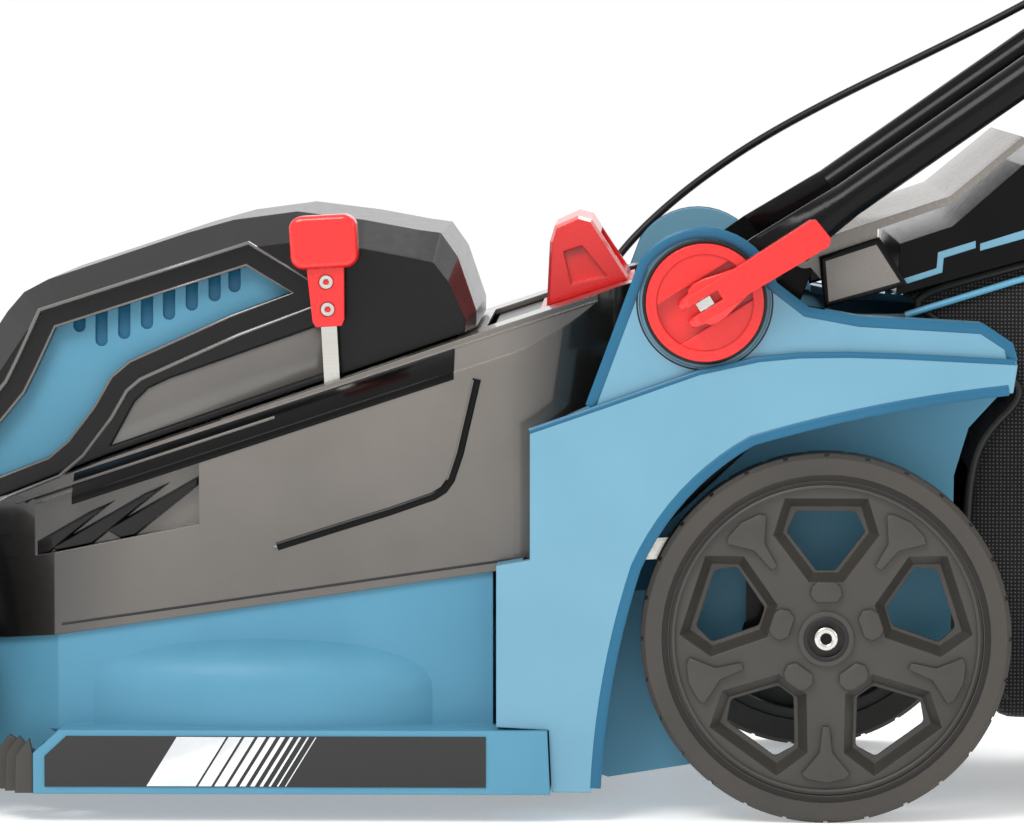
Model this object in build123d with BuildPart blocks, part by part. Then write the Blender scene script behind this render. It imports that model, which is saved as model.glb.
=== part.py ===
"""A cordless walk-behind lawn mower with a rotary blade, a folding handle and a rear grass bag.

Millimetres. +X points to the operator's end, -Y to the operator's left, +Z up. The origin is on the
ground, under the middle of the overall length and width. Profiles are drawn from the rear axle: their
first number is the distance behind it and their second the height above the ground.
"""

import os
from math import atan2, cos, degrees, pi, radians, sin, tan

from build123d import *

# --- driving dimensions -------------------------------------------------------------------------
REAR_R = 127.0              # rear wheel, 10 inch
FRONT_R = 101.5             # front wheel, 8 inch
WHEELBASE = 680.0
WHEEL_FACE_Y = 255.0        # outer faces of the wheels
WHEEL_W = 42.0
PIVOT_X, PIVOT_Z = -83.5, 357.7     # handle pivot in the ears
HANDLE_RISE = 35.0          # degrees above the ground
LOWER_LEN, UPPER_LEN = 560.0, 560.0
TUBE_R, TUBE_WALL = 12.5, 1.6
GRIP_R = 16.0
LOWER_Y, UPPER_Y = 221.0, 194.0     # tube centrelines, left and right of the middle
CUT_R = 238.0               # blade circle
CHAMBER_R = 251.0           # outside of the blade chamber
BLADE_X = -388.0
WALL = 4.0
DECK_Y = 222.0              # side wall of the deck
COVER_Y = 225.0             # side wall of the lower cover
HOOD_Y = 165.0              # side of the upper hood
FENDER_Y = 256.0            # outer face of the rear side plates
EAR_Y = 250.0
TUNNEL_Y = 190.0            # outside of the rear discharge tunnel
NOSE_Y = 188.0              # deck width between the front wheels
CRANK = 45.0                # wheel crank arm
ROD_ARM = 60.0              # arm that the link rod pulls
ROD_Y, ROD_FRONT_Y, ROD_T = 199.5, 180.0, 5.0   # outer face of the link rod at its rear and front pins
SHAFT_R = 7.0
AXLE_R = 6.0
RUN = 0.06                  # running clearance on a radius
LEVER_X, LEVER_Z = -334.0, 160.0    # height lever pivot
LEDGE_RISE = 0.3295         # slope of the cover's shoulder, rise over run
CABLE_R = 3.0

RISE = radians(HANDLE_RISE)
HANDLE_REACH = PIVOT_X + (LOWER_LEN + UPPER_LEN) * cos(RISE) + GRIP_R
REAR_X = (WHEELBASE + FRONT_R - HANDLE_REACH) / 2      # rear axle, from the origin


def side(y: float) -> Plane:
    """Upright plane at y, seen from the operator's left. Extrusions grow to the left."""
    return Plane(origin=(REAR_X, y, 0), x_dir=(1, 0, 0), z_dir=(0, -1, 0))


def level(z: float) -> Plane:
    """Flat plane at height z, with its origin above or below the rear axle."""
    return Plane(origin=(REAR_X, 0, z))


def across(x: float) -> Plane:
    """Upright plane at x behind the rear axle, seen from behind: right is +Y."""
    return Plane(origin=(REAR_X + x, 0, 0), x_dir=(0, 1, 0), z_dir=(1, 0, 0))


def shoulder(x: float) -> float:
    """Height of the lower cover's shoulder at x."""
    return 313.0 + (x + 241.3) * LEDGE_RISE


def on_handle(s: float, lift: float = 0.0) -> tuple[float, float]:
    """The point s along the handle from its pivot, lifted off its centreline."""
    return (PIVOT_X + s * cos(RISE) - lift * sin(RISE), PIVOT_Z + s * sin(RISE) + lift * cos(RISE))


def write(piece: Part, name: str) -> None:
    """Label a finished piece and write its STEP file."""
    piece.label = name
    export_step(piece, f"parts/{name}.step")


os.makedirs("parts", exist_ok=True)

# --- deck shell ---------------------------------------------------------------------------------
DECK_TOP = [(-745, 96), (-700, 116), (-568, 124), (-530, 130), (-120, 190)]
TRAY_Z = 134.0              # floor of the tray that carries the motor
SKIRT_Z = 20.0
CHAMBER_TOP = 126.0
PLAN_NOSE = -748.0


def deck_plan(half: float, nose_half: float, nose: float, inset: float) -> list:
    """Half outline of the deck seen from above, from the nose to the back."""
    return [(nose + inset, 0), (nose + inset, nose_half - 60), (nose + 60, nose_half - inset),
            (-583, nose_half - inset), (-530, half - inset), (-229 - inset, half - inset),
            (-229 - inset, TUNNEL_Y), (-166 - inset, TUNNEL_Y), (-166 - inset, 0)]


BLADE_SIDE = Plane(origin=(REAR_X + BLADE_X, 0, 0), x_dir=(1, 0, 0), z_dir=(0, -1, 0))
BLADE_AXIS = Axis((REAR_X + BLADE_X, 0, 0), (0, 0, 1))


def chamber_half(inset: float, bottom: float) -> Sketch:
    """Half section of the domed blade chamber, moved in by its wall."""
    radius, top = CHAMBER_R - inset, CHAMBER_TOP - inset
    with BuildSketch() as half:
        with BuildLine():
            Polyline((0, top), (0, bottom), (radius, bottom), (radius, 88))
            Spline((radius, 88), (radius - 15, top - 10), (radius - 50, top), tangents=[(0, 1), (-1, 0)])
            Line((radius - 50, top), (0, top))
        make_face()
    return half.sketch


with BuildPart() as deck_shell:
    with BuildSketch(level(30)):                                    # upper body
        with BuildLine():
            Polyline(*deck_plan(DECK_Y, NOSE_Y, PLAN_NOSE, 0), close=True)
        make_face()
        mirror(about=Plane.XZ)
    extrude(amount=200)
    with BuildSketch(side(0)):                                      # trimmed to its side profile
        with BuildLine():
            Polyline((-760, 52), *DECK_TOP, (-120, 40), (-760, 40), close=True)
        make_face()
    extrude(amount=DECK_Y + 10, both=True, mode=Mode.INTERSECT)
    with BuildSketch(BLADE_SIDE):                                   # domed blade chamber
        add(chamber_half(0, SKIRT_Z))
    revolve(axis=BLADE_AXIS)
    with BuildSketch(side(0)):                                      # low skirt strips
        with BuildLine():
            Polyline((-544, SKIRT_Z), (-544, 48), (-526, 64), (-191, 64), (-189, SKIRT_Z), close=True)
        make_face()
    extrude(amount=262, both=True)
    with BuildSketch(side(0)):                                      # rear discharge tunnel
        with BuildLine():
            Polyline((-240, 60), (-150, 24), (-93, 33), (-70, 100), (-50, 112), (88, 112), (90, 235),
                     (100, 268), (124, 294), (70, 330), (30, 330), (-120, 190), (-240, 134), close=True)
        make_face()
    extrude(amount=TUNNEL_Y, both=True)
    with BuildSketch(level(TRAY_Z)):                                # tray hollowed from above
        with BuildLine():
            Polyline(*deck_plan(DECK_Y, NOSE_Y, PLAN_NOSE, WALL), close=True)
        make_face()
        mirror(about=Plane.XZ)
        with BuildLine():
            Polyline((-190, 0), (-190, DECK_Y), (-100, DECK_Y), (-100, 0), close=True)
        make_face(mode=Mode.SUBTRACT)
    extrude(amount=120, mode=Mode.SUBTRACT)
    with BuildSketch(BLADE_SIDE):                                   # chamber hollowed from below
        add(chamber_half(WALL, 0))
    revolve(axis=BLADE_AXIS, mode=Mode.SUBTRACT)
    for low, high, depth in ((-556, -233, TRAY_Z - WALL), (-800, -556, 88)):    # and outside the chamber
        with BuildSketch(level(0)):
            with BuildLine():
                Polyline(*deck_plan(DECK_Y, NOSE_Y, PLAN_NOSE, WALL), close=True)
            make_face()
            mirror(about=Plane.XZ)
            with Locations(((low + high) / 2, 0)):
                Rectangle(high - low, 600, mode=Mode.INTERSECT)
            with Locations((BLADE_X, 0)):
                Circle(CHAMBER_R, mode=Mode.SUBTRACT)
        extrude(amount=depth, mode=Mode.SUBTRACT)
    with BuildSketch(level(0)):                                     # inside of the skirt strips
        with Locations((-367, 0)):
            Rectangle(346, 516)
            Rectangle(346, 2 * DECK_Y - 8, mode=Mode.SUBTRACT)
        with Locations((BLADE_X, 0)):
            Circle(CHAMBER_R, mode=Mode.SUBTRACT)
    extrude(amount=60, mode=Mode.SUBTRACT)
    with BuildSketch(side(0)):                                      # inside of the tunnel
        with BuildLine():
            Polyline((-300, 40), (-158, 40), (-99, 42), (-76, 150), (130, 150), (130, 322), (34, 322),
                     (-120, 182), (-240, 110), (-300, 108), close=True)
        make_face()
    extrude(amount=TUNNEL_Y - WALL, both=True, mode=Mode.SUBTRACT)
    with BuildSketch(side(0)):                                      # axle space below the tunnel floor
        with BuildLine():
            Polyline((-72, 90), (-60, 144), (130, 144), (130, 90), close=True)
        make_face()
    extrude(amount=TUNNEL_Y - WALL, both=True, mode=Mode.SUBTRACT)
    with BuildSketch(level(110)):                                   # motor shaft hole
        with Locations((BLADE_X, 0)):
            Circle(14)
    extrude(amount=40, mode=Mode.SUBTRACT)
    with BuildSketch(level(90)):                                    # slot for the front link arm
        with Locations((-WHEELBASE - CRANK, -ROD_FRONT_Y + ROD_T / 2)):
            Rectangle(112, 18)
    extrude(amount=60, mode=Mode.SUBTRACT)
    with BuildSketch(side(-186)):                                   # channel for the height link rod
        with BuildLine():
            Polyline((-290, 148), (-290, 196), (-100, 206), (-100, 156), close=True)
        make_face()
    extrude(amount=17, mode=Mode.SUBTRACT)
    with BuildSketch(side(0)):                                      # crank shaft bores
        with Locations((-CRANK, REAR_R), (-WHEELBASE - CRANK, FRONT_R)):
            Circle(11)
    extrude(amount=TUNNEL_Y + 8, both=True, mode=Mode.SUBTRACT)
write(deck_shell.part, "deck_shell")

# --- rear side plates with the handle ears --------------------------------------------------------
PLATE_OUTLINE = [(-203, 267.5), (-203, 181), (-226, 177), (-226, 66), (-190, 64), (-188, 21), (-161, 21)]
ARCH = [((-161, 21), (-152, 100), (-133, 174)), ((-133, 174), (-100, 224), (-52, 261)),
        ((-52, 261), (37, 282), (127, 296))]
WING = [(127, 296), (130, 315), (127, 329), (107, 342), (22, 347), (-12.5, 353.6), (-35, 371)]
EAR_FRONT = [(-128, 385), (-164, 285)]
BAND = [(-203, 267.5), (-155, 284), (-87, 308), (-46, 317), (-19, 319.5), (15, 320), (50, 319), (130, 315)]
EAR_R = 50.5
PIVOT_BOLT_R = 5.0


HOLLOW = [(124, 301), (125, 313), (122, 325), (105, 336), (22, 341.5), (-14, 348), (-30, 340), (-30, 316),
          (-146, 316), (-159, 280), (-198, 263), (-198, 186), (-221, 172), (-221, 71), (-186, 69), (-184, 26),
          (-166, 26)]
HOLLOW_ARCH = [((-166, 26), (-157, 100), (-138, 176)), ((-138, 176), (-104, 228), (-54, 266)),
               ((-54, 266), (36, 287), (124, 301))]


def plate_face() -> Sketch:
    """Outline of a side plate."""
    with BuildSketch() as outline:
        with BuildLine():
            Polyline(*PLATE_OUTLINE)
            for start, middle, end in ARCH:
                ThreePointArc(start, middle, end)
            Polyline(*WING)
            ThreePointArc((-35, 371), (-80, 408), (-128, 385))
            Polyline(*EAR_FRONT, (-203, 267.5))
        make_face()
    return outline.sketch


def side_plate(hand: int) -> Part:
    """A rear side plate: -1 for the left, +1 for the right."""
    with BuildPart() as plate:
        with BuildSketch(side(-192)):
            add(plate_face())
        extrude(amount=EAR_Y - 192)
        with BuildSketch(side(-EAR_Y)):                             # lower part stands proud
            add(plate_face())
            with BuildLine():
                Polyline(*BAND, (130, 420), (-203, 420), close=True)
            make_face(mode=Mode.SUBTRACT)
        extrude(amount=FENDER_Y - EAR_Y)
        with BuildSketch(side(-180)):                               # hollow behind the face
            with BuildLine():
                Polyline(*HOLLOW)
                for start, middle, end in HOLLOW_ARCH:
                    ThreePointArc(start, middle, end)
            make_face()
        extrude(amount=EAR_Y - 5 - 180, mode=Mode.SUBTRACT)
        with BuildSketch(side(-180)):                               # the ear is a single wall
            Rectangle(400, 440, align=(Align.MAX, Align.MIN))
            with Locations((-230, 322)):
                Rectangle(250, 200, align=(Align.MIN, Align.MIN), mode=Mode.INTERSECT)
        extrude(amount=EAR_Y - 12 - 180, mode=Mode.SUBTRACT)
        with BuildSketch(side(-EAR_Y + 12)):                        # boss around the handle bolt
            with Locations((PIVOT_X, PIVOT_Z)):
                Circle(26)
        extrude(amount=12)
        with BuildSketch(side(-200)):
            with Locations((PIVOT_X, PIVOT_Z)):
                Circle(PIVOT_BOLT_R + 0.1)
        extrude(amount=60, mode=Mode.SUBTRACT)
        with BuildSketch(side(-EAR_Y + 2)):                         # seat ring for the cam disc
            with Locations((PIVOT_X, PIVOT_Z)):
                Circle(45)
        extrude(amount=10, mode=Mode.SUBTRACT)
        with BuildSketch(side(-180)):                               # channel for the height link rod
            with BuildLine():
                Polyline((-240, 150), (-240, 198), (-100, 206), (-100, 156), close=True)
            make_face()
        extrude(amount=24, mode=Mode.SUBTRACT)
        with BuildSketch(side(-180)):                               # clear of the lower cover
            with BuildLine():
                Polyline((-240, 166), (-204.5, 173.5), (-118, 186), (-118, 420), (-240, 420), close=True)
            make_face()
        extrude(amount=COVER_Y + 0.3 - 180, mode=Mode.SUBTRACT)
        if hand > 0:
            mirror(about=Plane.XZ, mode=Mode.REPLACE)
    return plate.part


fender_left, fender_right = side_plate(-1), side_plate(1)
write(fender_left, "fender_left")
write(fender_right, "fender_right")

# --- lower cover --------------------------------------------------------------------------------
COVER_BOTTOM = [(-758, 116), (-568, 122), (-527, 126.5), (-204.5, 174), (-118, 193)]
COVER_TOP = [(-118, 372), (-143, 366), (-243, 333), (-501, 245), (-640, 190), (-722, 166), (-758, 150)]
LOUVRE_POCKET = [(-432, 247), (-432, 203), (-478, 194), (-568, 176), (-640, 160), (-640, 186), (-568, 208),
                 (-500, 232), (-454, 250)]
SHOULDER_DROP, SHOULDER_IN = 16.0, 22.0


def cover_plan(half: float, nose_half: float, inset: float) -> Sketch:
    """The lower cover seen from above, moved in by its wall."""
    with BuildSketch() as plan:
        with BuildLine():
            Polyline((-758 + inset, 0), (-758 + inset, nose_half - 70), (-688, nose_half - inset),
                     (-584, nose_half - inset), (-532, half - inset), (-215, half - inset))
            ThreePointArc((-215, half - inset), (-152 - 0.7 * inset, half - 26 - 0.7 * inset),
                          (-118 - inset, half - 80))
            Polyline((-118 - inset, half - 80), (-118 - inset, 0), (-758 + inset, 0))
        make_face()
        mirror(about=Plane.XZ)
    return plan.sketch


def cover_form(bottom: list, top: list, inset: float) -> Part:
    """The solid envelope of the lower cover with its sloping shoulders, moved in by its wall."""
    half, crest = COVER_Y - inset, shoulder(-800) - inset
    with BuildPart() as form:
        with BuildSketch(side(0)):
            with BuildLine():
                Polyline(*bottom, *top, close=True)
            make_face()
        extrude(amount=half, both=True)
        for hand in (-1, 1):
            with BuildSketch(across(-800)):
                with BuildLine():
                    Polyline((hand * (half - SHOULDER_IN), crest + SHOULDER_DROP), (hand * half, crest),
                             (hand * (half + 10), crest), (hand * (half + 10), crest + 60),
                             (hand * (half - SHOULDER_IN), crest + 60), close=True)
                make_face()
            extrude(amount=720, dir=(1, 0, LEDGE_RISE), mode=Mode.SUBTRACT)
        with BuildSketch(level(80)):
            add(cover_plan(COVER_Y, 192, inset))
        extrude(amount=400, mode=Mode.INTERSECT)
    return form.part


LOUVRE_BACK = [(-428, 256), (-428, 199), (-478, 190), (-568, 172), (-644, 156), (-644, 190), (-568, 214),
               (-500, 238), (-454, 256)]
COVER_INSIDE = [(-121, 368), (-143, 362), (-243, 329), (-501, 241), (-640, 186), (-722, 162), (-755, 147)]
with BuildPart() as cover_space:
    add(cover_form([(-755, 100), (-121, 100)], COVER_INSIDE, 3))
    for hand in (-1, 1):                                            # solid behind the louvres
        with BuildSketch(side(hand * (COVER_Y - 12))):
            with BuildLine():
                Polyline(*LOUVRE_BACK, close=True)
            make_face()
        extrude(amount=-hand * 12, mode=Mode.SUBTRACT)
with BuildPart() as motor_cover:
    add(cover_form(COVER_BOTTOM, COVER_TOP, 0))
    add(cover_space.part, mode=Mode.SUBTRACT)
    with BuildSketch(level(150)):                                   # opening under the hood
        with BuildLine():
            Polyline((-716, -100), (-640, -152), (-256, -152), (-256, 152), (-640, 152), (-716, 100), close=True)
        make_face()
    extrude(amount=200, mode=Mode.SUBTRACT)
    with BuildSketch(side(0)):                                      # battery bay
        with BuildLine():
            Polyline((-236, 190), (-236, 400), (-121, 400), (-121, 190), close=True)
        make_face()
    extrude(amount=131, both=True, mode=Mode.SUBTRACT)
    with BuildSketch(side(-COVER_Y + 9)):                           # louvre recesses
        with BuildLine():
            Polyline(*LOUVRE_POCKET, close=True)
        make_face()
    extrude(amount=60, mode=Mode.SUBTRACT)
    with BuildSketch(side(COVER_Y - 9)):
        with BuildLine():
            Polyline(*LOUVRE_POCKET, close=True)
        make_face()
    extrude(amount=-60, mode=Mode.SUBTRACT)
    with BuildSketch(side(-175)):                                   # slot for the height lever
        with BuildLine():
            Polyline((-420, 220), (-420, 300), (-290, 345), (-290, 260), close=True)
        make_face()
    extrude(amount=15, mode=Mode.SUBTRACT)
    for y, space in ((-168.5, [(-775, 100), (-775, 171), (-640, 176), (-640, 100)]),
                     (-188, [(-240, 150), (-240, 198), (-100, 206), (-100, 156)])):
        with BuildSketch(side(y)):                                  # clear of the height link rod
            with BuildLine():
                Polyline(*space, close=True)
            make_face()
        extrude(amount=16, mode=Mode.SUBTRACT)
write(motor_cover.part, "motor_cover")

# --- upper hood ---------------------------------------------------------------------------------
HOOD_OUT = [(-243, 335), (-243, 346), (-256, 384), (-268, 401), (-283, 403), (-321, 410), (-369, 416),
            (-414, 410), (-446, 401), (-494, 385), (-545, 368), (-562, 359), (-574, 345), (-606, 296),
            (-640, 248), (-684, 206), (-722, 180), (-722, 169), (-640, 192.5), (-501, 247)]
HOOD_IN = [(-250, 333), (-250, 342), (-262, 368), (-272, 381), (-285, 384), (-322, 391), (-369, 396),
           (-410, 391), (-440, 382), (-488, 366), (-536, 350), (-547, 344), (-556, 334), (-588, 286),
           (-624, 238), (-668, 203), (-700, 184), (-700, 177), (-640, 192.5), (-501, 247)]
WINDOW = [(-575, 231), (-542, 244), (-528, 256), (-510, 280), (-498, 301), (-485, 312), (-414, 344),
          (-371, 360), (-403, 379), (-537, 336), (-551, 306), (-559, 290), (-577, 268), (-606, 236),
          (-610, 222)]
FACET = [(-499, 252), (-482, 284), (-472, 294), (-457, 301), (-350, 339), (-344, 336), (-343, 305)]
PANEL_Y = 150.0
VENT_X = [-521, -505.5, -489.5, -473.5, -458, -442, -426, -412]
VENT_BOTTOM = [332, 322, 327, 334, 340.5, 347, 353.5, 360]


def facet_sketch(points: list, grow: float) -> Sketch:
    """A polygon grown by a margin, or shrunk by a negative one."""
    with BuildSketch() as shape:
        with BuildLine():
            Polyline(*points, close=True)
        make_face()
        if grow:
            offset(amount=grow, mode=Mode.REPLACE)
    return shape.sketch


with BuildPart() as hood_shell:
    for hand in (-1, 1):
        with BuildSketch(side(hand * 128)):
            add(facet_sketch(HOOD_OUT, 0))
        with BuildSketch(side(hand * HOOD_Y)):
            add(facet_sketch(HOOD_IN, 0))
        loft(ruled=True)
    with BuildSketch(side(0)):
        add(facet_sketch(HOOD_OUT, 0))
    extrude(amount=128, both=True)
    for hand in (-1, 1):
        for points, grow, y in ((WINDOW, 14, HOOD_Y - 4), (WINDOW, 0, PANEL_Y - 3), (FACET, 0, HOOD_Y - 3)):
            with BuildSketch(side(hand * y)):
                add(facet_sketch(points, grow))
            extrude(amount=-hand * 40, mode=Mode.SUBTRACT)
    with BuildSketch(side(0)):                                      # hollow for the motor
        with BuildLine():
            Polyline((-262, 300), (-262, 360), (-284, 380), (-369, 390), (-440, 376), (-540, 342),
                     (-585, 270), (-640, 225), (-690, 182), (-640, 160), (-501, 215), close=True)
        make_face()
    extrude(amount=PANEL_Y - 9, both=True, mode=Mode.SUBTRACT)
write(hood_shell.part, "hood_shell")

with BuildPart() as intake_panels:
    for hand in (-1, 1):
        with BuildSketch(side(hand * (PANEL_Y - 3))):
            add(facet_sketch(WINDOW, -0.3))
            with Locations(*[(x, bottom + 30) for x, bottom in zip(VENT_X, VENT_BOTTOM)]):
                SlotOverall(60, 8.5, rotation=90, mode=Mode.SUBTRACT)
        extrude(amount=-hand * 3)
write(intake_panels.part, "intake_panels")

# --- trim on the deck and the cover ---------------------------------------------------------------
with BuildPart() as louvres:
    for hand in (-1, 1):
        for x in (-574, -536, -498):
            with BuildSketch(side(hand * (COVER_Y - 9))):
                with BuildLine():
                    Polyline((x, shoulder(x) - 30), (x + 66, shoulder(x + 66) - 14),
                             (x + 84, shoulder(x + 84) - 12), (x + 16, shoulder(x + 16) - 44), close=True)
                make_face()
                add(facet_sketch(LOUVRE_POCKET, 0), mode=Mode.INTERSECT)
            extrude(amount=-hand * 7, taper=12)
    with BuildSketch(level(100)):
        add(cover_plan(COVER_Y - 1, 191, 0))
    extrude(amount=300, mode=Mode.INTERSECT)
write(louvres.part, "louvres")

LABEL = [(-536, 25), (-536, 46), (-521, 60), (-233, 60), (-233, 25)]
with BuildPart() as skirt_labels:
    for hand in (-1, 1):
        with BuildSketch(side(hand * 262)):
            with BuildLine():
                Polyline(*LABEL, close=True)
            make_face()
        extrude(amount=-hand * 0.8)
write(skirt_labels.part, "skirt_labels")

COMB_FIN_W, COMB_PITCH = 5.0, 12.0
with BuildPart() as grass_combs:
    for hand in (-1, 1):
        for step in range(3):
            x = -544 - 8 * step
            with BuildSketch(side(hand * (258 - COMB_PITCH * step))):
                with BuildLine():
                    Polyline((-544.5, SKIRT_Z), (x - 13, SKIRT_Z), (x - 12, 46), (x - 3, 58), (-544.5, 46), close=True)
                make_face()
            extrude(amount=hand * COMB_FIN_W)
        with BuildSketch(side(hand * 258)):                         # block that joins the fins
            with BuildLine():
                Polyline((-556, SKIRT_Z), (-556, 44), (-544.5, 44), (-544.5, SKIRT_Z), close=True)
            make_face()
        extrude(amount=hand * 29)
write(grass_combs.part, "grass_combs")

# --- motor, controller and battery ----------------------------------------------------------------
def blade_axis(z: float) -> Plane:
    """Flat plane on the blade axis at height z."""
    return Plane(origin=(REAR_X + BLADE_X, 0, z))


MOTOR_R, MOTOR_TOP = 68.0, 268.0
MOTOR_SHAFT_R = 8.0
with BuildPart() as motor_can:
    with BuildSketch(blade_axis(TRAY_Z)):
        Circle(MOTOR_R + 16)
    extrude(amount=6)
    with BuildSketch(blade_axis(TRAY_Z + 6)):
        Circle(MOTOR_R)
        with PolarLocations(MOTOR_R, 24):
            Rectangle(5, 4, mode=Mode.SUBTRACT)
    extrude(amount=MOTOR_TOP - TRAY_Z - 6)
    with BuildSketch(blade_axis(MOTOR_TOP)):
        Circle(30)
    extrude(amount=14, taper=20)
    with BuildSketch(blade_axis(TRAY_Z)):
        Circle(MOTOR_SHAFT_R + RUN)
    extrude(amount=40, mode=Mode.SUBTRACT)
write(motor_can.part, "motor_can")

with BuildPart() as controller_box:
    with BuildSketch(level(TRAY_Z)):
        with Locations((-560, 0)):
            RectangleRounded(110, 150, 8)
    extrude(amount=44)
    with BuildSketch(level(TRAY_Z + 44)):
        with Locations((-560, 0)):
            with GridLocations(0, 12, 1, 10):
                Rectangle(96, 4)
    extrude(amount=12)
write(controller_box.part, "controller_box")

BAY_ORIGIN = (REAR_X - 236.0, 0, 331.0)     # front edge of the battery bay's mouth
BAY = Plane(origin=BAY_ORIGIN, x_dir=(cos(radians(18)), 0, sin(radians(18))),
            z_dir=(-sin(radians(18)), 0, cos(radians(18))))
TRAY_MID = 42.0
with BuildPart() as battery_tray:
    with BuildSketch(BAY.offset(-106)):
        with Locations((TRAY_MID, 0)):
            RectangleRounded(74, 148, 8)
    extrude(amount=96)
    with BuildSketch(BAY.offset(-103)):
        with Locations((TRAY_MID, 0)):
            RectangleRounded(68, 142, 6)
    extrude(amount=96, mode=Mode.SUBTRACT)
write(battery_tray.part, "battery_tray")

with BuildPart() as battery_pack:
    with BuildSketch(BAY.offset(-102)):
        with Locations((TRAY_MID, 0)):
            RectangleRounded(64, 136, 8)
    extrude(amount=84)
    with BuildSketch(BAY.offset(-18)):
        with Locations((TRAY_MID, 0)):
            RectangleRounded(48, 100, 8)
    extrude(amount=7)
    with BuildSketch(BAY.offset(-20)):                              # finger recess
        with Locations((TRAY_MID, 0)):
            SlotOverall(70, 22, rotation=90)
    extrude(amount=20, mode=Mode.SUBTRACT)
write(battery_pack.part, "battery_pack")

# --- battery lid ----------------------------------------------------------------------------------
LID_LEN, LID_HALF, LID_T = 113.0, 129.5, 4.0
LID_HINGE = (3.0, 2.0)                      # along the bay's mouth, above it
with BuildPart() as lid_panel:
    with BuildSketch(BAY.offset(-4)):
        with Locations((4, 0)):
            Rectangle(LID_LEN, 2 * LID_HALF, align=(Align.MIN, Align.CENTER))
    extrude(amount=LID_T)
    fillet(lid_panel.edges().filter_by(Axis.Y).sort_by(Axis.Z)[-1:], 3)
    with BuildSketch(Plane(origin=BAY_ORIGIN, x_dir=BAY.x_dir, z_dir=(0, -1, 0))):
        with Locations((6, -4)):
            Circle(2.6)
    extrude(amount=LID_HALF - 6, both=True)
write(lid_panel.part, "lid_panel")

LID_SIDE = Plane(origin=BAY_ORIGIN, x_dir=BAY.x_dir, z_dir=(0, -1, 0))
HANDLE_HALF = 85.0
HANDLE_PROFILE = [(42, 0), (44, 4), (60, 46), (67, 56), (86, 58), (95, 52), (108, 4), (108, 0)]
with BuildPart() as lid_handle:
    with BuildSketch(LID_SIDE):
        with BuildLine():
            Polyline(*HANDLE_PROFILE, close=True)
        make_face()
        offset(amount=-1, mode=Mode.REPLACE)
    extrude(amount=HANDLE_HALF - 8, both=True)
    for hand in (-1, 1):                                            # drafted ends
        with BuildSketch(LID_SIDE.offset(-hand * (HANDLE_HALF - 8))):
            with BuildLine():
                Polyline(*HANDLE_PROFILE, close=True)
            make_face()
            offset(amount=-1, mode=Mode.REPLACE)
        extrude(amount=-hand * 8, taper=14)
        with BuildSketch(LID_SIDE.offset(-hand * (HANDLE_HALF - 5))):
            with BuildLine():
                Polyline((66, 12), (68, 36), (82, 36), (92, 10), close=True)
            make_face()
        extrude(amount=-hand * 12, mode=Mode.SUBTRACT)
    with BuildSketch(LID_SIDE):                                     # finger slot through the hood of it
        with BuildLine():
            Polyline((74, 8), (84, 44), (130, 30), (130, 8), close=True)
        make_face()
    extrude(amount=HANDLE_HALF - 22, both=True, mode=Mode.SUBTRACT)
    with BuildSketch(BAY):
        with Locations((75, 0)):
            Rectangle(70, 2 * HANDLE_HALF)
    extrude(amount=2.5)
write(lid_handle.part, "lid_handle")

# --- blade rotor ------------------------------------------------------------------------------------
BLADE_Z, BLADE_T, BLADE_W = 46.0, 3.5, 52.0
BOSS_R = 24.0
with BuildPart() as motor_shaft:
    with BuildSketch(blade_axis(BLADE_Z + BLADE_T + 14)):
        Circle(MOTOR_SHAFT_R)
    extrude(amount=MOTOR_SHAFT_R + TRAY_Z - BLADE_Z + 8)
write(motor_shaft.part, "motor_shaft")

with BuildPart() as blade_boss:
    with BuildSketch(blade_axis(BLADE_Z + BLADE_T)):
        Circle(BOSS_R)
    extrude(amount=14)
    with BuildSketch(blade_axis(BLADE_Z + BLADE_T)):
        with PolarLocations(BOSS_R + 16, 8):
            Rectangle(36, 3)
    extrude(amount=12)
write(blade_boss.part, "blade_boss")

with BuildPart() as blade:
    with BuildSketch(blade_axis(BLADE_Z)):
        RectangleRounded(2 * CUT_R, BLADE_W, 6)
        with PolarLocations(CUT_R - 50, 2):                         # ground cutting edges
            with Locations((0, BLADE_W / 2)):
                Rectangle(110, 8, mode=Mode.SUBTRACT)
    extrude(amount=BLADE_T)
    for turn in (0, 180):                                           # air-lift wings on the trailing edges
        wing = blade_axis(BLADE_Z + BLADE_T / 2).rotated((0, 0, turn))
        with BuildSketch(Plane(origin=wing.origin + wing.x_dir * (CUT_R - 64), x_dir=wing.y_dir,
                               z_dir=wing.x_dir)):
            with BuildLine():
                Polyline((-BLADE_W / 2 + 12, -1.7), (-BLADE_W / 2 - 2, 14), (-BLADE_W / 2 + 1, 15.5),
                         (-BLADE_W / 2 + 15, 1.7), close=True)
            make_face()
        extrude(amount=56)
write(blade.part, "blade")

with BuildPart() as blade_bolt:
    with BuildSketch(blade_axis(BLADE_Z - 3)):
        Circle(17)
    extrude(amount=3)
    with BuildSketch(blade_axis(BLADE_Z - 3)):
        RegularPolygon(10, 6)
    extrude(amount=-8)
write(blade_bolt.part, "blade_bolt")

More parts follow.
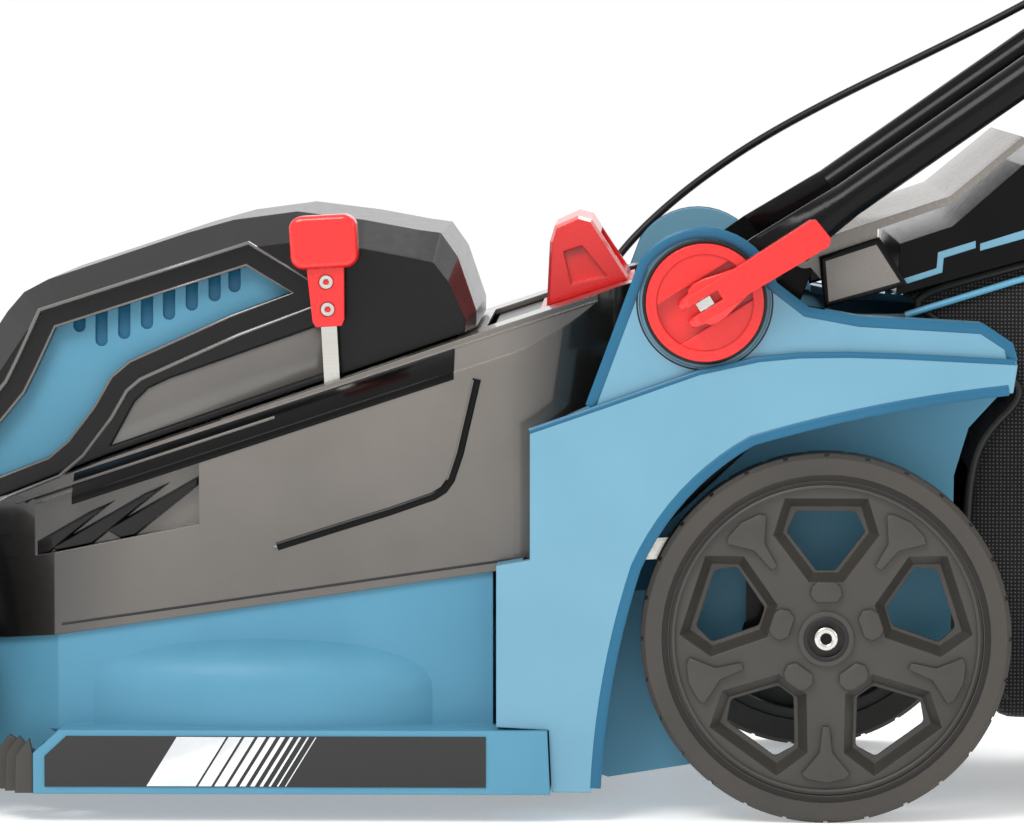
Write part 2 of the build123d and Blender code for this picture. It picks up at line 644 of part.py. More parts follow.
# --- wheels -----------------------------------------------------------------------------------------
def wheel_pieces(radius: float, x: float, hand: int, name: str) -> None:
    """Write the rim and the tyre of one wheel, standing on the ground at x."""
    k = radius / REAR_R
    face = WHEEL_FACE_Y * hand
    window = [(46 * k, -6.5 * k), (73 * k, -27.3 * k), (87 * k, -20.5 * k), (87 * k, 20.5 * k),
              (73 * k, 27.3 * k), (46 * k, 6.5 * k)]
    surround = [(38 * k, -12 * k), (71 * k, -37 * k), (97 * k, -29 * k), (97 * k, 29 * k), (71 * k, 37 * k),
                (38 * k, 12 * k)]
    centre = Location((x, radius))
    web = 20.0
    with BuildPart() as rim:
        with BuildSketch(side(face - hand * 3)):
            with Locations(centre):
                Circle(108 * k)
        extrude(amount=hand * (WHEEL_W - 6))
        with BuildSketch(side(face - hand * web)):                  # hollow behind the web
            with Locations(centre):
                Circle(100 * k)
                Circle(19, mode=Mode.SUBTRACT)
        extrude(amount=hand * WHEEL_W, mode=Mode.SUBTRACT)
        with BuildSketch(side(face)):                               # hub
            with Locations(centre):
                Circle(19)
        extrude(amount=hand * WHEEL_W)
        for turn in range(5):
            spoke = Location((x, radius), 90 + 72 * turn)
            with BuildSketch(side(face - hand * 2)):                # sloping surround of a window
                with Locations(spoke):
                    Polygon(*surround, align=None)
            extrude(amount=hand * 12, taper=30, mode=Mode.SUBTRACT)
            with BuildSketch(side(face)) as opening:
                with Locations(spoke):
                    Polygon(*window, align=None)
                fillet(opening.vertices(), 4 * k)
            extrude(amount=hand * WHEEL_W, mode=Mode.SUBTRACT)
        with BuildSketch(side(face)):                               # recess for the nut, and the bore
            with Locations(centre):
                Circle(13)
        extrude(amount=hand * 9, mode=Mode.SUBTRACT)
        with BuildSketch(side(face)):
            with Locations(centre):
                Circle(AXLE_R + RUN)
        extrude(amount=hand * WHEEL_W, mode=Mode.SUBTRACT)
    write(rim.part, f"rim_{name}")
    with BuildPart() as tyre:
        with BuildSketch(side(face - hand * 4)):
            with Locations(centre):
                Circle(radius)
                Circle(108 * k, mode=Mode.SUBTRACT)
        extrude(amount=hand * (WHEEL_W - 8))
        for y, grow in ((face - hand * 4, -hand), (face - hand * (WHEEL_W - 4), hand)):
            with BuildSketch(side(y)):                              # sloping shoulders
                with Locations(centre):
                    Circle(radius - 0.01)
            extrude(amount=grow * 4, taper=38)
        with BuildSketch(side(face)):
            with Locations(centre):
                Circle(108 * k)
        extrude(amount=hand * WHEEL_W, mode=Mode.SUBTRACT)
        with BuildSketch(side(face)):                               # tread notches
            with Locations(centre):
                with PolarLocations(radius, TREAD_NOTCHES):
                    Rectangle(3.4, 3)
        extrude(amount=hand * 13, mode=Mode.SUBTRACT)
        with BuildSketch(side(face - hand * WHEEL_W)):
            with Locations(centre):
                with PolarLocations(radius, TREAD_NOTCHES, start_angle=180 / TREAD_NOTCHES):
                    Rectangle(3.4, 3)
        extrude(amount=-hand * 13, mode=Mode.SUBTRACT)
    write(tyre.part, f"tyre_{name}")


TREAD_NOTCHES = 28
for hand, label in ((-1, "left"), (1, "right")):
    wheel_pieces(REAR_R, 0.0, hand, f"rear_{label}")
    wheel_pieces(FRONT_R, -WHEELBASE, hand, f"front_{label}")

# --- height adjustment ------------------------------------------------------------------------------
ARM_Y, ARM_T = 206.5, 5.0                   # outer face of the crank arms, their thickness
PIN_R = 4.0


def crank(radius: float, x: float, link_y: float, reach: float) -> Part:
    """A cross shaft with an arm and a stub axle at each end, and a link arm whose outer face is at link_y."""
    with BuildPart() as piece:
        with BuildSketch(side(0)):
            with Locations((x - CRANK, radius)):
                Circle(SHAFT_R)
        extrude(amount=ARM_Y - 1, both=True)
        for hand in (-1, 1):
            with BuildSketch(side(hand * ARM_Y)):
                with Locations((x - CRANK / 2, radius)):
                    SlotCenterToCenter(CRANK, 24)
            extrude(amount=hand * ARM_T)
            for y, size, length in ((ARM_Y - 1, AXLE_R, WHEEL_FACE_Y - ARM_Y - 0.5),
                                    (ARM_Y - 1, 11, WHEEL_FACE_Y - WHEEL_W - ARM_Y + 0.6)):
                with BuildSketch(side(hand * y)):                   # stub axle and its thrust collar
                    with Locations((x, radius)):
                        Circle(size)
                extrude(amount=-hand * length)
            with BuildSketch(side(hand * (WHEEL_FACE_Y - 8.6))):    # nut in the hub recess
                with Locations((x, radius)):
                    RegularPolygon(8.6, 6)
            extrude(amount=-hand * 7)
        with BuildSketch(side(-link_y)):
            with Locations((x - CRANK, radius + ROD_ARM / 2)):
                SlotCenterToCenter(ROD_ARM, 18, rotation=90)
        extrude(amount=-ARM_T)
        with BuildSketch(side(-link_y + 1)):
            with Locations((x - CRANK, radius + ROD_ARM)):
                Circle(PIN_R)
        extrude(amount=-reach)
    return piece.part


LINK_GAP = 0.5                              # between a link arm and the rod beside it
write(crank(FRONT_R, -WHEELBASE, ROD_FRONT_Y - ROD_T - LINK_GAP, -(ROD_T + LINK_GAP + 1)), "front_crank")
write(crank(REAR_R, 0.0, ARM_Y, ARM_Y - ROD_Y + ROD_T - 1), "rear_crank")

REAR_PIN = Vector(REAR_X - CRANK, -ROD_Y + ROD_T / 2, REAR_R + ROD_ARM)
FRONT_PIN = Vector(REAR_X - WHEELBASE - CRANK, -ROD_FRONT_Y + ROD_T / 2, FRONT_R + ROD_ARM)
ROD_DIR = (REAR_PIN - FRONT_PIN).normalized()
ROD_PLANE = Plane(origin=(FRONT_PIN + REAR_PIN) / 2, x_dir=ROD_DIR, z_dir=Vector(0, 0, 1).cross(ROD_DIR))
with BuildPart() as link_rod:
    with BuildSketch(ROD_PLANE):
        SlotCenterToCenter((REAR_PIN - FRONT_PIN).length, 15)
    extrude(amount=ROD_T / 2, both=True)
    for pin, bore in ((REAR_PIN, PIN_R + RUN), (FRONT_PIN, PIN_R + 0.5)):
        with BuildSketch(Plane(origin=pin, z_dir=(0, 1, 0))):
            Circle(bore)
        extrude(amount=12, both=True, mode=Mode.SUBTRACT)
write(link_rod.part, "link_rod")

LEVER_Y = 182.0
LEVER_LEAN = degrees(atan2(-5.6, 99))       # forward of upright


def lever_at(y: float) -> Plane:
    """Side plane at y with its origin on the lever's pivot and its second axis along the lever."""
    lean = radians(LEVER_LEAN)
    return Plane(origin=(REAR_X + LEVER_X, y, LEVER_Z), x_dir=(cos(lean), 0, -sin(lean)), z_dir=(0, -1, 0))


LEVER_LEN, KNOB_Z = 200.0, 237.0
with BuildPart() as lever_strip:
    with BuildSketch(lever_at(-LEVER_Y + 2.5)):
        with Locations((0, LEVER_LEN / 2 - 10)):
            Rectangle(11, LEVER_LEN + 20)
        Circle(14)
        Circle(PIN_R + RUN, mode=Mode.SUBTRACT)
    extrude(amount=5)
write(lever_strip.part, "lever_strip")

with BuildPart() as lever_knob:
    with BuildSketch(lever_at(-LEVER_Y + 14)):                      # head
        with Locations((0, KNOB_Z)):
            RectangleRounded(47, 37, 9)
    extrude(amount=28)
    fillet(lever_knob.edges().filter_by(Axis.Y, reverse=True), 4)
    with BuildSketch(lever_at(-LEVER_Y + 7)):                       # neck
        with BuildLine():
            Polyline((-13, KNOB_Z - 17), (13, KNOB_Z - 17), (11, 182), (9, 178), (-9, 178), (-11, 182), close=True)
        make_face()
    extrude(amount=14)
    with BuildSketch(lever_at(-LEVER_Y + 2.5)):
        with Locations((0, LEVER_LEN / 2)):
            Rectangle(11, LEVER_LEN)
    extrude(amount=5, mode=Mode.SUBTRACT)
    for z in (KNOB_Z - 28, KNOB_Z - 47):                            # screw seats
        with BuildSketch(lever_at(-LEVER_Y - 7 + 1.5)):
            with Locations((0, z)):
                Circle(5.4)
        extrude(amount=4, mode=Mode.SUBTRACT)
write(lever_knob.part, "lever_knob")

with BuildPart() as lever_screws:
    for z in (KNOB_Z - 28, KNOB_Z - 47):
        with BuildSketch(lever_at(-LEVER_Y - 7 + 1.5)):
            with Locations((0, z)):
                Circle(4.6)
        extrude(amount=1.8)
        with BuildSketch(lever_at(-LEVER_Y - 7 + 2)):
            with Locations((0, z)):
                RegularPolygon(2.4, 6)
        extrude(amount=4, mode=Mode.SUBTRACT)
write(lever_screws.part, "lever_screws")

with BuildPart() as height_quadrant:
    with BuildSketch(side(-LEVER_Y + 12)):                          # bracket that carries the lever
        with Locations((LEVER_X, LEVER_Z - 6)):
            Rectangle(60, 40)
    extrude(amount=-5)
    with BuildSketch(side(-LEVER_Y + 12)):
        with Locations((LEVER_X, LEVER_Z)):
            Circle(9)
    extrude(amount=9.2)
    with BuildSketch(side(-LEVER_Y + 4)):
        with Locations((LEVER_X, LEVER_Z)):
            Circle(PIN_R)
    extrude(amount=6.6)
    with BuildSketch(lever_at(-LEVER_Y + 12)):                      # notched arc
        Circle(118)
        Circle(106, mode=Mode.SUBTRACT)
        with PolarLocations(118, 7, start_angle=58, angular_range=56):
            Rectangle(8, 6, mode=Mode.SUBTRACT)
        with BuildLine():
            Polyline((0, 0), (92, 130), (-92, 130), close=True)
        make_face(mode=Mode.INTERSECT)
    extrude(amount=-5)
    with BuildSketch(lever_at(-LEVER_Y + 12)):
        with Locations((0, 60)):
            Rectangle(26, 112)
    extrude(amount=-5)
write(height_quadrant.part, "height_quadrant")

with BuildPart() as pivot_bushes:
    for x, z in ((-CRANK, REAR_R), (-WHEELBASE - CRANK, FRONT_R)):
        for hand in (-1, 1):
            with BuildSketch(side(hand * (TUNNEL_Y - 8))):
                with Locations((x, z)):
                    Circle(10.9)
                    Circle(SHAFT_R + RUN, mode=Mode.SUBTRACT)
            extrude(amount=-hand * 10)
write(pivot_bushes.part, "pivot_bushes")

# --- folding handle ---------------------------------------------------------------------------------
HANDLE_DIR = (cos(RISE), 0, sin(RISE))
CROSSBAR_S, FLAT_S, ROUND_S = 400.0, 62.0, 120.0
JOINT_OVERLAP = 18.0                        # tube ends run past the middle hinge
HINGE_BOLT_R = 4.0


def handle_side(y: float) -> Plane:
    """Side plane at y on the handle pivot: first axis along the handle, second axis off it."""
    return Plane(origin=(REAR_X + PIVOT_X, y, PIVOT_Z), x_dir=HANDLE_DIR, z_dir=(0, -1, 0))


def handle_section(s: float, y: float) -> Plane:
    """Plane square to the handle at s: first axis +Y, second axis off the handle."""
    x, z = on_handle(s)
    return Plane(origin=(REAR_X + x, y, z), x_dir=(0, 1, 0), z_dir=HANDLE_DIR)


HANDLE_FLAT = Plane(origin=(REAR_X + PIVOT_X, 0, PIVOT_Z), x_dir=HANDLE_DIR, z_dir=(-sin(RISE), 0, cos(RISE)))
FLAT_T, FLAT_Y = 8.0, 233.0                 # flattened tube end against the ear

with BuildPart() as handle_lower:
    for hand in (-1, 1):
        with BuildSketch(handle_side(hand * (FLAT_Y - hand * FLAT_T / 2))):
            with Locations((FLAT_S / 2, 0)):
                SlotCenterToCenter(FLAT_S, 34)
            with Locations((FLAT_S + 8, 0)):
                Rectangle(32, 60, mode=Mode.SUBTRACT)
            Circle(PIVOT_BOLT_R + 0.1, mode=Mode.SUBTRACT)
        extrude(amount=-FLAT_T)
        with BuildSketch(handle_section(FLAT_S - 8, hand * FLAT_Y)):
            RectangleRounded(FLAT_T, 34, 3.5)
        with BuildSketch(handle_section(ROUND_S, hand * LOWER_Y)):
            Circle(TUBE_R)
        loft()
        with BuildSketch(handle_section(ROUND_S, hand * LOWER_Y)):
            Circle(TUBE_R)
        extrude(amount=LOWER_LEN + JOINT_OVERLAP - ROUND_S)
    with BuildSketch(handle_side(0)):
        with Locations((CROSSBAR_S, -4)):
            Circle(TUBE_R - 2.5)
    extrude(amount=LOWER_Y - TUBE_R + 3, both=True)
    for hand in (-1, 1):
        with BuildSketch(handle_section(ROUND_S + 4, hand * LOWER_Y)):
            Circle(TUBE_R - TUBE_WALL)
        extrude(amount=LOWER_LEN + JOINT_OVERLAP - ROUND_S, mode=Mode.SUBTRACT)
    with BuildSketch(handle_side(0)):
        with Locations((LOWER_LEN, 0)):
            Circle(HINGE_BOLT_R + RUN)
    extrude(amount=260, both=True, mode=Mode.SUBTRACT)
write(handle_lower.part, "handle_lower")

BEND_R, TOP_S = 60.0, LOWER_LEN + UPPER_LEN
with BuildPart() as handle_upper:
    with BuildLine(HANDLE_FLAT) as loop:
        FilletPolyline((LOWER_LEN - JOINT_OVERLAP, -UPPER_Y), (TOP_S, -UPPER_Y), (TOP_S, UPPER_Y),
                       (LOWER_LEN - JOINT_OVERLAP, UPPER_Y), radius=BEND_R)
    with BuildSketch(Plane(origin=loop.line @ 0, z_dir=loop.line % 0)):
        Circle(TUBE_R)
        Circle(TUBE_R - TUBE_WALL, mode=Mode.SUBTRACT)
    sweep()
    with BuildSketch(handle_side(0)):
        with Locations((LOWER_LEN, 0)):
            Circle(HINGE_BOLT_R + RUN)
    extrude(amount=260, both=True, mode=Mode.SUBTRACT)
write(handle_upper.part, "handle_upper")

with BuildPart() as hinge_bolts:
    for hand in (-1, 1):
        with BuildSketch(handle_side(hand * (LOWER_Y + TUBE_R + 6))):
            with Locations((LOWER_LEN, 0)):
                Circle(HINGE_BOLT_R)
        extrude(amount=hand * (LOWER_Y - UPPER_Y + 2 * TUBE_R + 10))
        with BuildSketch(handle_side(hand * (UPPER_Y - TUBE_R - 0.4))):
            with Locations((LOWER_LEN, 0)):
                RegularPolygon(7.5, 6)
        extrude(amount=hand * 5)
write(hinge_bolts.part, "hinge_bolts")

GRIP_HALF = 118.0
with BuildPart() as grip_sleeve:
    with BuildSketch(handle_side(0)):
        with Locations((TOP_S, 0)):
            Circle(GRIP_R)
    extrude(amount=GRIP_HALF, both=True)
    fillet(grip_sleeve.edges().filter_by(GeomType.CIRCLE), 2.5)
    with BuildSketch(handle_side(0)):
        with Locations((TOP_S, 0)):
            Circle(TUBE_R + 0.02)
    extrude(amount=GRIP_HALF + 5, both=True, mode=Mode.SUBTRACT)
write(grip_sleeve.part, "grip_sleeve")

BOX_S0, BOX_S1, BOX_Y0, BOX_Y1 = 950.0, 1048.0, 148.0, 210.0
BAIL_S, BAIL_ARM, BAIL_OPEN, BAIL_Y, BAIL_R = 1030.0, 93.4, 46.0, 140.0, 4.0
with BuildPart() as switch_box:
    with BuildSketch(HANDLE_FLAT.offset(-17)):
        with Locations(((BOX_S0 + BOX_S1) / 2, (BOX_Y0 + BOX_Y1) / 2)):
            RectangleRounded(BOX_S1 - BOX_S0, BOX_Y1 - BOX_Y0, 10)
    extrude(amount=44)
    fillet(switch_box.edges().filter_by(Plane(HANDLE_FLAT.origin, z_dir=HANDLE_FLAT.z_dir)), 4)
    with BuildSketch(handle_section(BOX_S0 - 5, UPPER_Y)):
        Circle(TUBE_R + 0.02)
    extrude(amount=BOX_S1 - BOX_S0 + 10, mode=Mode.SUBTRACT)
    with BuildSketch(HANDLE_FLAT.offset(14)):                       # well for the start button
        with Locations(((BOX_S0 + BOX_S1) / 2, BOX_Y0 + 18)):
            Circle(11)
    extrude(amount=20, mode=Mode.SUBTRACT)
    with BuildSketch(handle_side(BOX_Y0 + 8)):                      # bearing for the bail
        with Locations((BAIL_S, 0)):
            Circle(BAIL_R + RUN)
    extrude(amount=20, mode=Mode.SUBTRACT)
write(switch_box.part, "switch_box")

with BuildPart() as start_button:
    with BuildSketch(HANDLE_FLAT.offset(19)):
        with Locations(((BOX_S0 + BOX_S1) / 2, BOX_Y0 + 18)):
            Circle(10.6)
    extrude(amount=12)
    fillet(start_button.edges().filter_by(GeomType.CIRCLE).sort_by(Axis.Z)[-1:], 2)
write(start_button.part, "start_button")

BAIL_DIR = (cos(RISE + radians(BAIL_OPEN)), 0, sin(RISE + radians(BAIL_OPEN)))
BAIL_X, BAIL_Z = on_handle(BAIL_S)
BAIL_PLANE = Plane(origin=(REAR_X + BAIL_X, 0, BAIL_Z), x_dir=BAIL_DIR, z_dir=(-BAIL_DIR[2], 0, BAIL_DIR[0]))
BAIL_PIN = 12.0
with BuildPart() as bail:
    with BuildLine(BAIL_PLANE) as loop:
        FilletPolyline((0, -BAIL_Y - BAIL_PIN), (0, -BAIL_Y), (BAIL_ARM, -BAIL_Y), (BAIL_ARM, BAIL_Y),
                       (0, BAIL_Y), (0, BAIL_Y + BAIL_PIN), radius=[6, 28, 28, 6])
    with BuildSketch(Plane(origin=loop.line @ 0, z_dir=loop.line % 0)):
        Circle(BAIL_R)
    sweep()
write(bail.part, "bail")

with BuildPart() as bail_bracket:                                   # left end of the bail; the box holds the other
    with BuildSketch(handle_side(-BAIL_Y - 5)):
        with Locations((BAIL_S, 0)):
            RectangleRounded(34, 24, 6)
    extrude(amount=UPPER_Y - BAIL_Y - 13)
    with BuildSketch(handle_section(BAIL_S - 30, -UPPER_Y)):
        Circle(TUBE_R + 0.02)
    extrude(amount=60, mode=Mode.SUBTRACT)
    with BuildSketch(handle_side(-BAIL_Y)):
        with Locations((BAIL_S, 0)):
            Circle(BAIL_R + RUN)
    extrude(amount=20, mode=Mode.SUBTRACT)
write(bail_bracket.part, "bail_bracket")


def lock_knob(hand: int) -> Part:
    """Star knob on the outside of a middle hinge."""
    with BuildPart() as knob:
        with BuildSketch(handle_side(hand * (LOWER_Y + TUBE_R + 0.6))):
            with Locations((LOWER_LEN, 0)):
                Circle(11)
        extrude(amount=-hand * 4)
        with BuildSketch(handle_side(hand * (LOWER_Y + TUBE_R + 4))):
            with Locations((LOWER_LEN, 0)):
                Circle(20)
                with PolarLocations(23, 6):
                    Circle(7, mode=Mode.SUBTRACT)
        extrude(amount=-hand * 12)
        fillet(knob.edges().filter_by(GeomType.CIRCLE).group_by(Axis.Y)[0 if hand < 0 else -1], 2)
        with BuildSketch(handle_side(hand * LOWER_Y)):
            with Locations((LOWER_LEN, 0)):
                Circle(HINGE_BOLT_R + RUN)
        extrude(amount=-hand * (TUBE_R + 8), mode=Mode.SUBTRACT)
    return knob.part


write(lock_knob(-1), "lock_knob_left")
write(lock_knob(1), "lock_knob_right")

# --- quick releases on the ears ---------------------------------------------------------------------
CAM_ANGLE, CAM_R, CAM_RIM, CAM_FLOOR = 31.7, 40.3, 261.0, 251.5
CAM_PIN_Y, CAM_PIN_R = 270.0, 3.0
CAM_FRONT, CAM_BACK = 96.0, 16.0


def cam_side(y: float) -> Plane:
    """Side plane at y on the handle pivot with its first axis along the closed cam lever."""
    lean = radians(CAM_ANGLE)
    return Plane(origin=(REAR_X + PIVOT_X, y, PIVOT_Z), x_dir=(cos(lean), 0, sin(lean)), z_dir=(0, -1, 0))


with BuildPart() as cam_discs:
    for hand in (-1, 1):
        with BuildSketch(cam_side(hand * (EAR_Y - 2))):
            Circle(CAM_R)
        extrude(amount=-hand * (CAM_RIM - EAR_Y + 2))
        with BuildSketch(cam_side(hand * CAM_FLOOR)):
            Circle(33)
        extrude(amount=-hand * 20, mode=Mode.SUBTRACT)
        with BuildSketch(cam_side(hand * CAM_FLOOR)):               # half-moon faces
            Circle(33.01)
            Rectangle(70, 31, mode=Mode.SUBTRACT)
        extrude(amount=-hand * (CAM_RIM - CAM_FLOOR - 1.5))
        with BuildSketch(cam_side(hand * (EAR_Y - 3))):
            Circle(PIVOT_BOLT_R + 0.1)
        extrude(amount=-hand * 20, mode=Mode.SUBTRACT)
write(cam_discs.part, "cam_discs")

with BuildPart() as cam_bolts:
    for hand in (-1, 1):
        with BuildSketch(cam_side(hand * (FLAT_Y - 9))):
            Circle(PIVOT_BOLT_R)
        extrude(amount=-hand * (CAM_FLOOR + 0.4 - FLAT_Y + 9))
        with BuildSketch(cam_side(hand * (FLAT_Y - 14))):
            RegularPolygon(9, 6)
        extrude(amount=-hand * 6)
        with BuildSketch(cam_side(hand * (CAM_FLOOR + 0.3))):
            Rectangle(11, 6.6)
        extrude(amount=-hand * (CAM_PIN_Y + 6 - CAM_FLOOR - 0.3))
        with BuildSketch(Plane(origin=(REAR_X + PIVOT_X, hand * CAM_PIN_Y, PIVOT_Z),
                               z_dir=cam_side(0).y_dir)):
            Circle(CAM_PIN_R)
        extrude(amount=9.4, both=True)
write(cam_bolts.part, "cam_bolts")


def cam_lever(hand: int) -> Part:
    """A forked lever, closed against its disc."""
    with BuildPart() as lever:
        with BuildSketch(cam_side(hand * (CAM_PIN_Y - 8))):
            with BuildLine():
                Polyline((-CAM_BACK, -10), (30, -10), (CAM_FRONT - 4, -11), (CAM_FRONT, -7),
                         (CAM_FRONT - 2, 9), (CAM_FRONT - 6, 11), (30, 10), (-CAM_BACK, 10), close=True)
            make_face()
        extrude(amount=-hand * 16)
        prong_ends = lever.edges().filter_by(Axis((0, 0, 0), tuple(cam_side(0).y_dir)))
        fillet(prong_ends.sort_by(Axis((0, 0, 0), tuple(cam_side(0).x_dir)))[:2], 7)
        with BuildSketch(cam_side(hand * (CAM_PIN_Y - 9))):
            with Locations((-CAM_BACK, 0)):
                Rectangle(2 * (CAM_BACK + 12), 7.4)
        extrude(amount=-hand * 20, mode=Mode.SUBTRACT)
        with BuildSketch(Plane(origin=(REAR_X + PIVOT_X, hand * CAM_PIN_Y, PIVOT_Z),
                               z_dir=cam_side(0).y_dir)):
            Circle(CAM_PIN_R + RUN)
        extrude(amount=20, both=True, mode=Mode.SUBTRACT)
    return lever.part


write(cam_lever(-1), "cam_lever_left")
write(cam_lever(1), "cam_lever_right")

# --- rear cowl and discharge flap -------------------------------------------------------------------
FLAP_HINGE = (-14.0, 388.0)
COWL_HALF = 184.0
with BuildPart() as rear_cowl:
    with BuildSketch(side(0)):
        with BuildLine():
            Polyline((-117, 196), (-117, 372), (-62, 388), (-36, 380), (-28, 340), (30, 331), (-117, 193.5),
                     close=True)
        make_face()
    extrude(amount=COWL_HALF, both=True)
    with BuildSketch(side(0)):
        with BuildLine():
            Polyline((-113, 208), (-113, 367), (-62, 383), (-41, 376), (-33, 338), (12, 326), close=True)
        make_face()
    extrude(amount=COWL_HALF - 4, both=True, mode=Mode.SUBTRACT)
    for hand in (-1, 1):                                            # lugs for the flap rod
        with BuildSketch(side(hand * 150)):
            with BuildLine():
                Polyline((-40, 352), (-40, 384), (-24, 396), (-8, 396), (-4, 384), (-20, 344), close=True)
            make_face()
        extrude(amount=hand * 10)
    with BuildSketch(side(0)):
        with Locations(FLAP_HINGE):
            Circle(4)
    extrude(amount=200, both=True, mode=Mode.SUBTRACT)
write(rear_cowl.part, "rear_cowl")

with BuildPart() as flap_rod:
    with BuildSketch(side(0)):
        with Locations(FLAP_HINGE):
            Circle(3.94)
    extrude(amount=196, both=True)
write(flap_rod.part, "flap_rod")

FLAP_HALF = 204.0
with BuildPart() as rear_flap:
    with BuildSketch(side(0)):
        with BuildLine():
            Polyline((-8, 391), (88, 424), (138, 466), (136, 470), (86, 429), (-10, 397), close=True)
        make_face()
    extrude(amount=FLAP_HALF, both=True)
    with BuildSketch(side(0)):
        with Locations(FLAP_HINGE):
            Circle(9)
    extrude(amount=FLAP_HALF, both=True)
    for hand in (-1, 1):                                            # box-like cheeks
        with BuildSketch(side(hand * (FLAP_HALF + 3))):
            with BuildLine():
                Polyline((-4, 384), (36, 398), (54, 369), (1, 354), close=True)
            make_face()
        extrude(amount=hand * 6)
        with BuildSketch(side(hand * FLAP_HALF)):
            with BuildLine():
                Polyline((-16, 386), (2, 366), (36, 386), (36, 408), (-10, 396), close=True)
            make_face()
        extrude(amount=hand * 4)
        with BuildSketch(side(hand * 136)):                         # gaps for the lugs
            with Locations(FLAP_HINGE):
                Rectangle(22, 22)
        extrude(amount=-hand * 18, mode=Mode.SUBTRACT)
    with BuildSketch(side(0)):
        with Locations(FLAP_HINGE):
            Circle(4)
    extrude(amount=FLAP_HALF + 5, both=True, mode=Mode.SUBTRACT)
write(rear_flap.part, "rear_flap")

# --- grass bag --------------------------------------------------------------------------------------
BAG_HALF, LID_BAG_HALF = 184.0, 197.0
BAG_OUT = [(53, 357), (78, 339), (132, 300), (136, 288), (110, 264), (100, 238), (98, 150), (119, 62),
           (300, 66), (470, 84), (516, 140), (522, 300), (505, 449), (300, 427), (131, 381)]
with BuildPart() as bag_fabric:
    with BuildSketch(side(0)):
        with BuildLine():
            Polyline(*BAG_OUT, close=True)
        make_face()
    extrude(amount=BAG_HALF, both=True)
    with BuildSketch(side(0)):
        with BuildLine():
            Polyline(*BAG_OUT, close=True)
        make_face()
        offset(amount=-4, mode=Mode.REPLACE)
    extrude(amount=BAG_HALF - 4, both=True, mode=Mode.SUBTRACT)
    with BuildSketch(across(90)):                                   # mouth
        with Locations((0, 190)):
            Rectangle(2 * BAG_HALF - 60, 90)
    extrude(amount=30, mode=Mode.SUBTRACT)
write(bag_fabric.part, "bag_fabric")

LID_UNDER = [(49, 360), (131, 383), (300, 429), (505, 451.5)]
LID_OVER = [(510, 470), (500, 488), (420, 500), (250, 486), (136, 450), (88, 408), (52, 396)]
with BuildPart() as bag_lid:
    with BuildSketch(side(0)):
        with BuildLine():
            Polyline(*LID_UNDER, *LID_OVER, close=True)
        make_face()
    extrude(amount=LID_BAG_HALF, both=True)
    with BuildSketch(side(0)):
        with BuildLine():
            Polyline(*LID_UNDER, *LID_OVER, close=True)
        make_face()
        offset(amount=-4, mode=Mode.REPLACE)
    extrude(amount=LID_BAG_HALF - 4, both=True, mode=Mode.SUBTRACT)
write(bag_lid.part, "bag_lid")

with BuildPart() as bag_strips:
    for hand in (-1, 1):
        for points in ([(52, 371), (77, 379), (78, 390), (104, 398), (104, 393), (82, 386), (81, 376), (53, 367)],
                       [(107, 396), (139, 406), (300, 448), (300, 442), (139, 400), (107, 391)]):
            with BuildSketch(side(hand * LID_BAG_HALF)):
                with BuildLine():
                    Polyline(*points, close=True)
                make_face()
            extrude(amount=-hand * 1)
write(bag_strips.part, "bag_strips")

with BuildPart() as bag_grip:
    with BuildLine(side(0)) as loop:
        FilletPolyline((420, 500.2), (420, 532), (330, 522), (330, 493.5), radius=14)
    with BuildSketch(Plane(origin=loop.line @ 0, z_dir=loop.line % 0)):
        RectangleRounded(16, 30, 6)
    sweep()
write(bag_grip.part, "bag_grip")

# --- control cable ----------------------------------------------------------------------------------
GLAND_ROOT = Vector(REAR_X - 188, 206, 308)
GLAND_TIP = Vector(REAR_X - 171, 230, 332)
CABLE_FREE = [(-158, 241, 352), (-141, 252, 377), (-114, 256.5, 404), (-81, 254.5, 431),
              (-36, 247, 461.5), (22, 238, 493), (84, 229, 523), (150, 219, 556), (216, 209, 593)]
CLIP_S, CABLE_LIFT = 462.0, 14.0


def handle_point(s: float, y: float, lift: float) -> Vector:
    """A point on the handle, as x, y, z of the row."""
    x, z = on_handle(s, lift)
    return Vector(REAR_X + x, y, z)


GLAND_AXIS = (GLAND_TIP - GLAND_ROOT).normalized()
with BuildPart() as cable_gland:
    with BuildSketch(Plane(origin=GLAND_ROOT, z_dir=GLAND_AXIS)):
        Circle(8)
    with BuildSketch(Plane(origin=GLAND_TIP, z_dir=GLAND_AXIS)):
        Circle(4.4)
    loft()
write(cable_gland.part, "cable_gland")

free_points = [GLAND_TIP + GLAND_AXIS] + [Vector(REAR_X + x, y, z) for x, y, z in CABLE_FREE]
free_points += [handle_point(CLIP_S - 44, 205, CABLE_LIFT), handle_point(CLIP_S, 205, CABLE_LIFT)]
lower_points = [handle_point(*p) for p in ((CLIP_S, 205, CABLE_LIFT), (490, 205, CABLE_LIFT), (518, 191, 11),
                                           (540, 174, 4), (LOWER_LEN, 172, 0))]
upper_points = [handle_point(*p) for p in ((LOWER_LEN, 172, 0), (580, 170, -4), (620, 175, -5), (690, 177.5, -3),
                                           (780, 178, -4.5), (866, 178, -4), (BOX_S0, 178, -4))]

def corner_radii(points: list) -> list:
    """As large an arc at each corner as the two runs beside it leave room for."""
    radii = []
    for before, corner, after in zip(points, points[1:], points[2:]):
        arriving, leaving = corner - before, after - corner
        turn = radians(arriving.get_angle(leaving))
        radii.append(0.45 * min(arriving.length, leaving.length) / tan(turn / 2))
    return radii


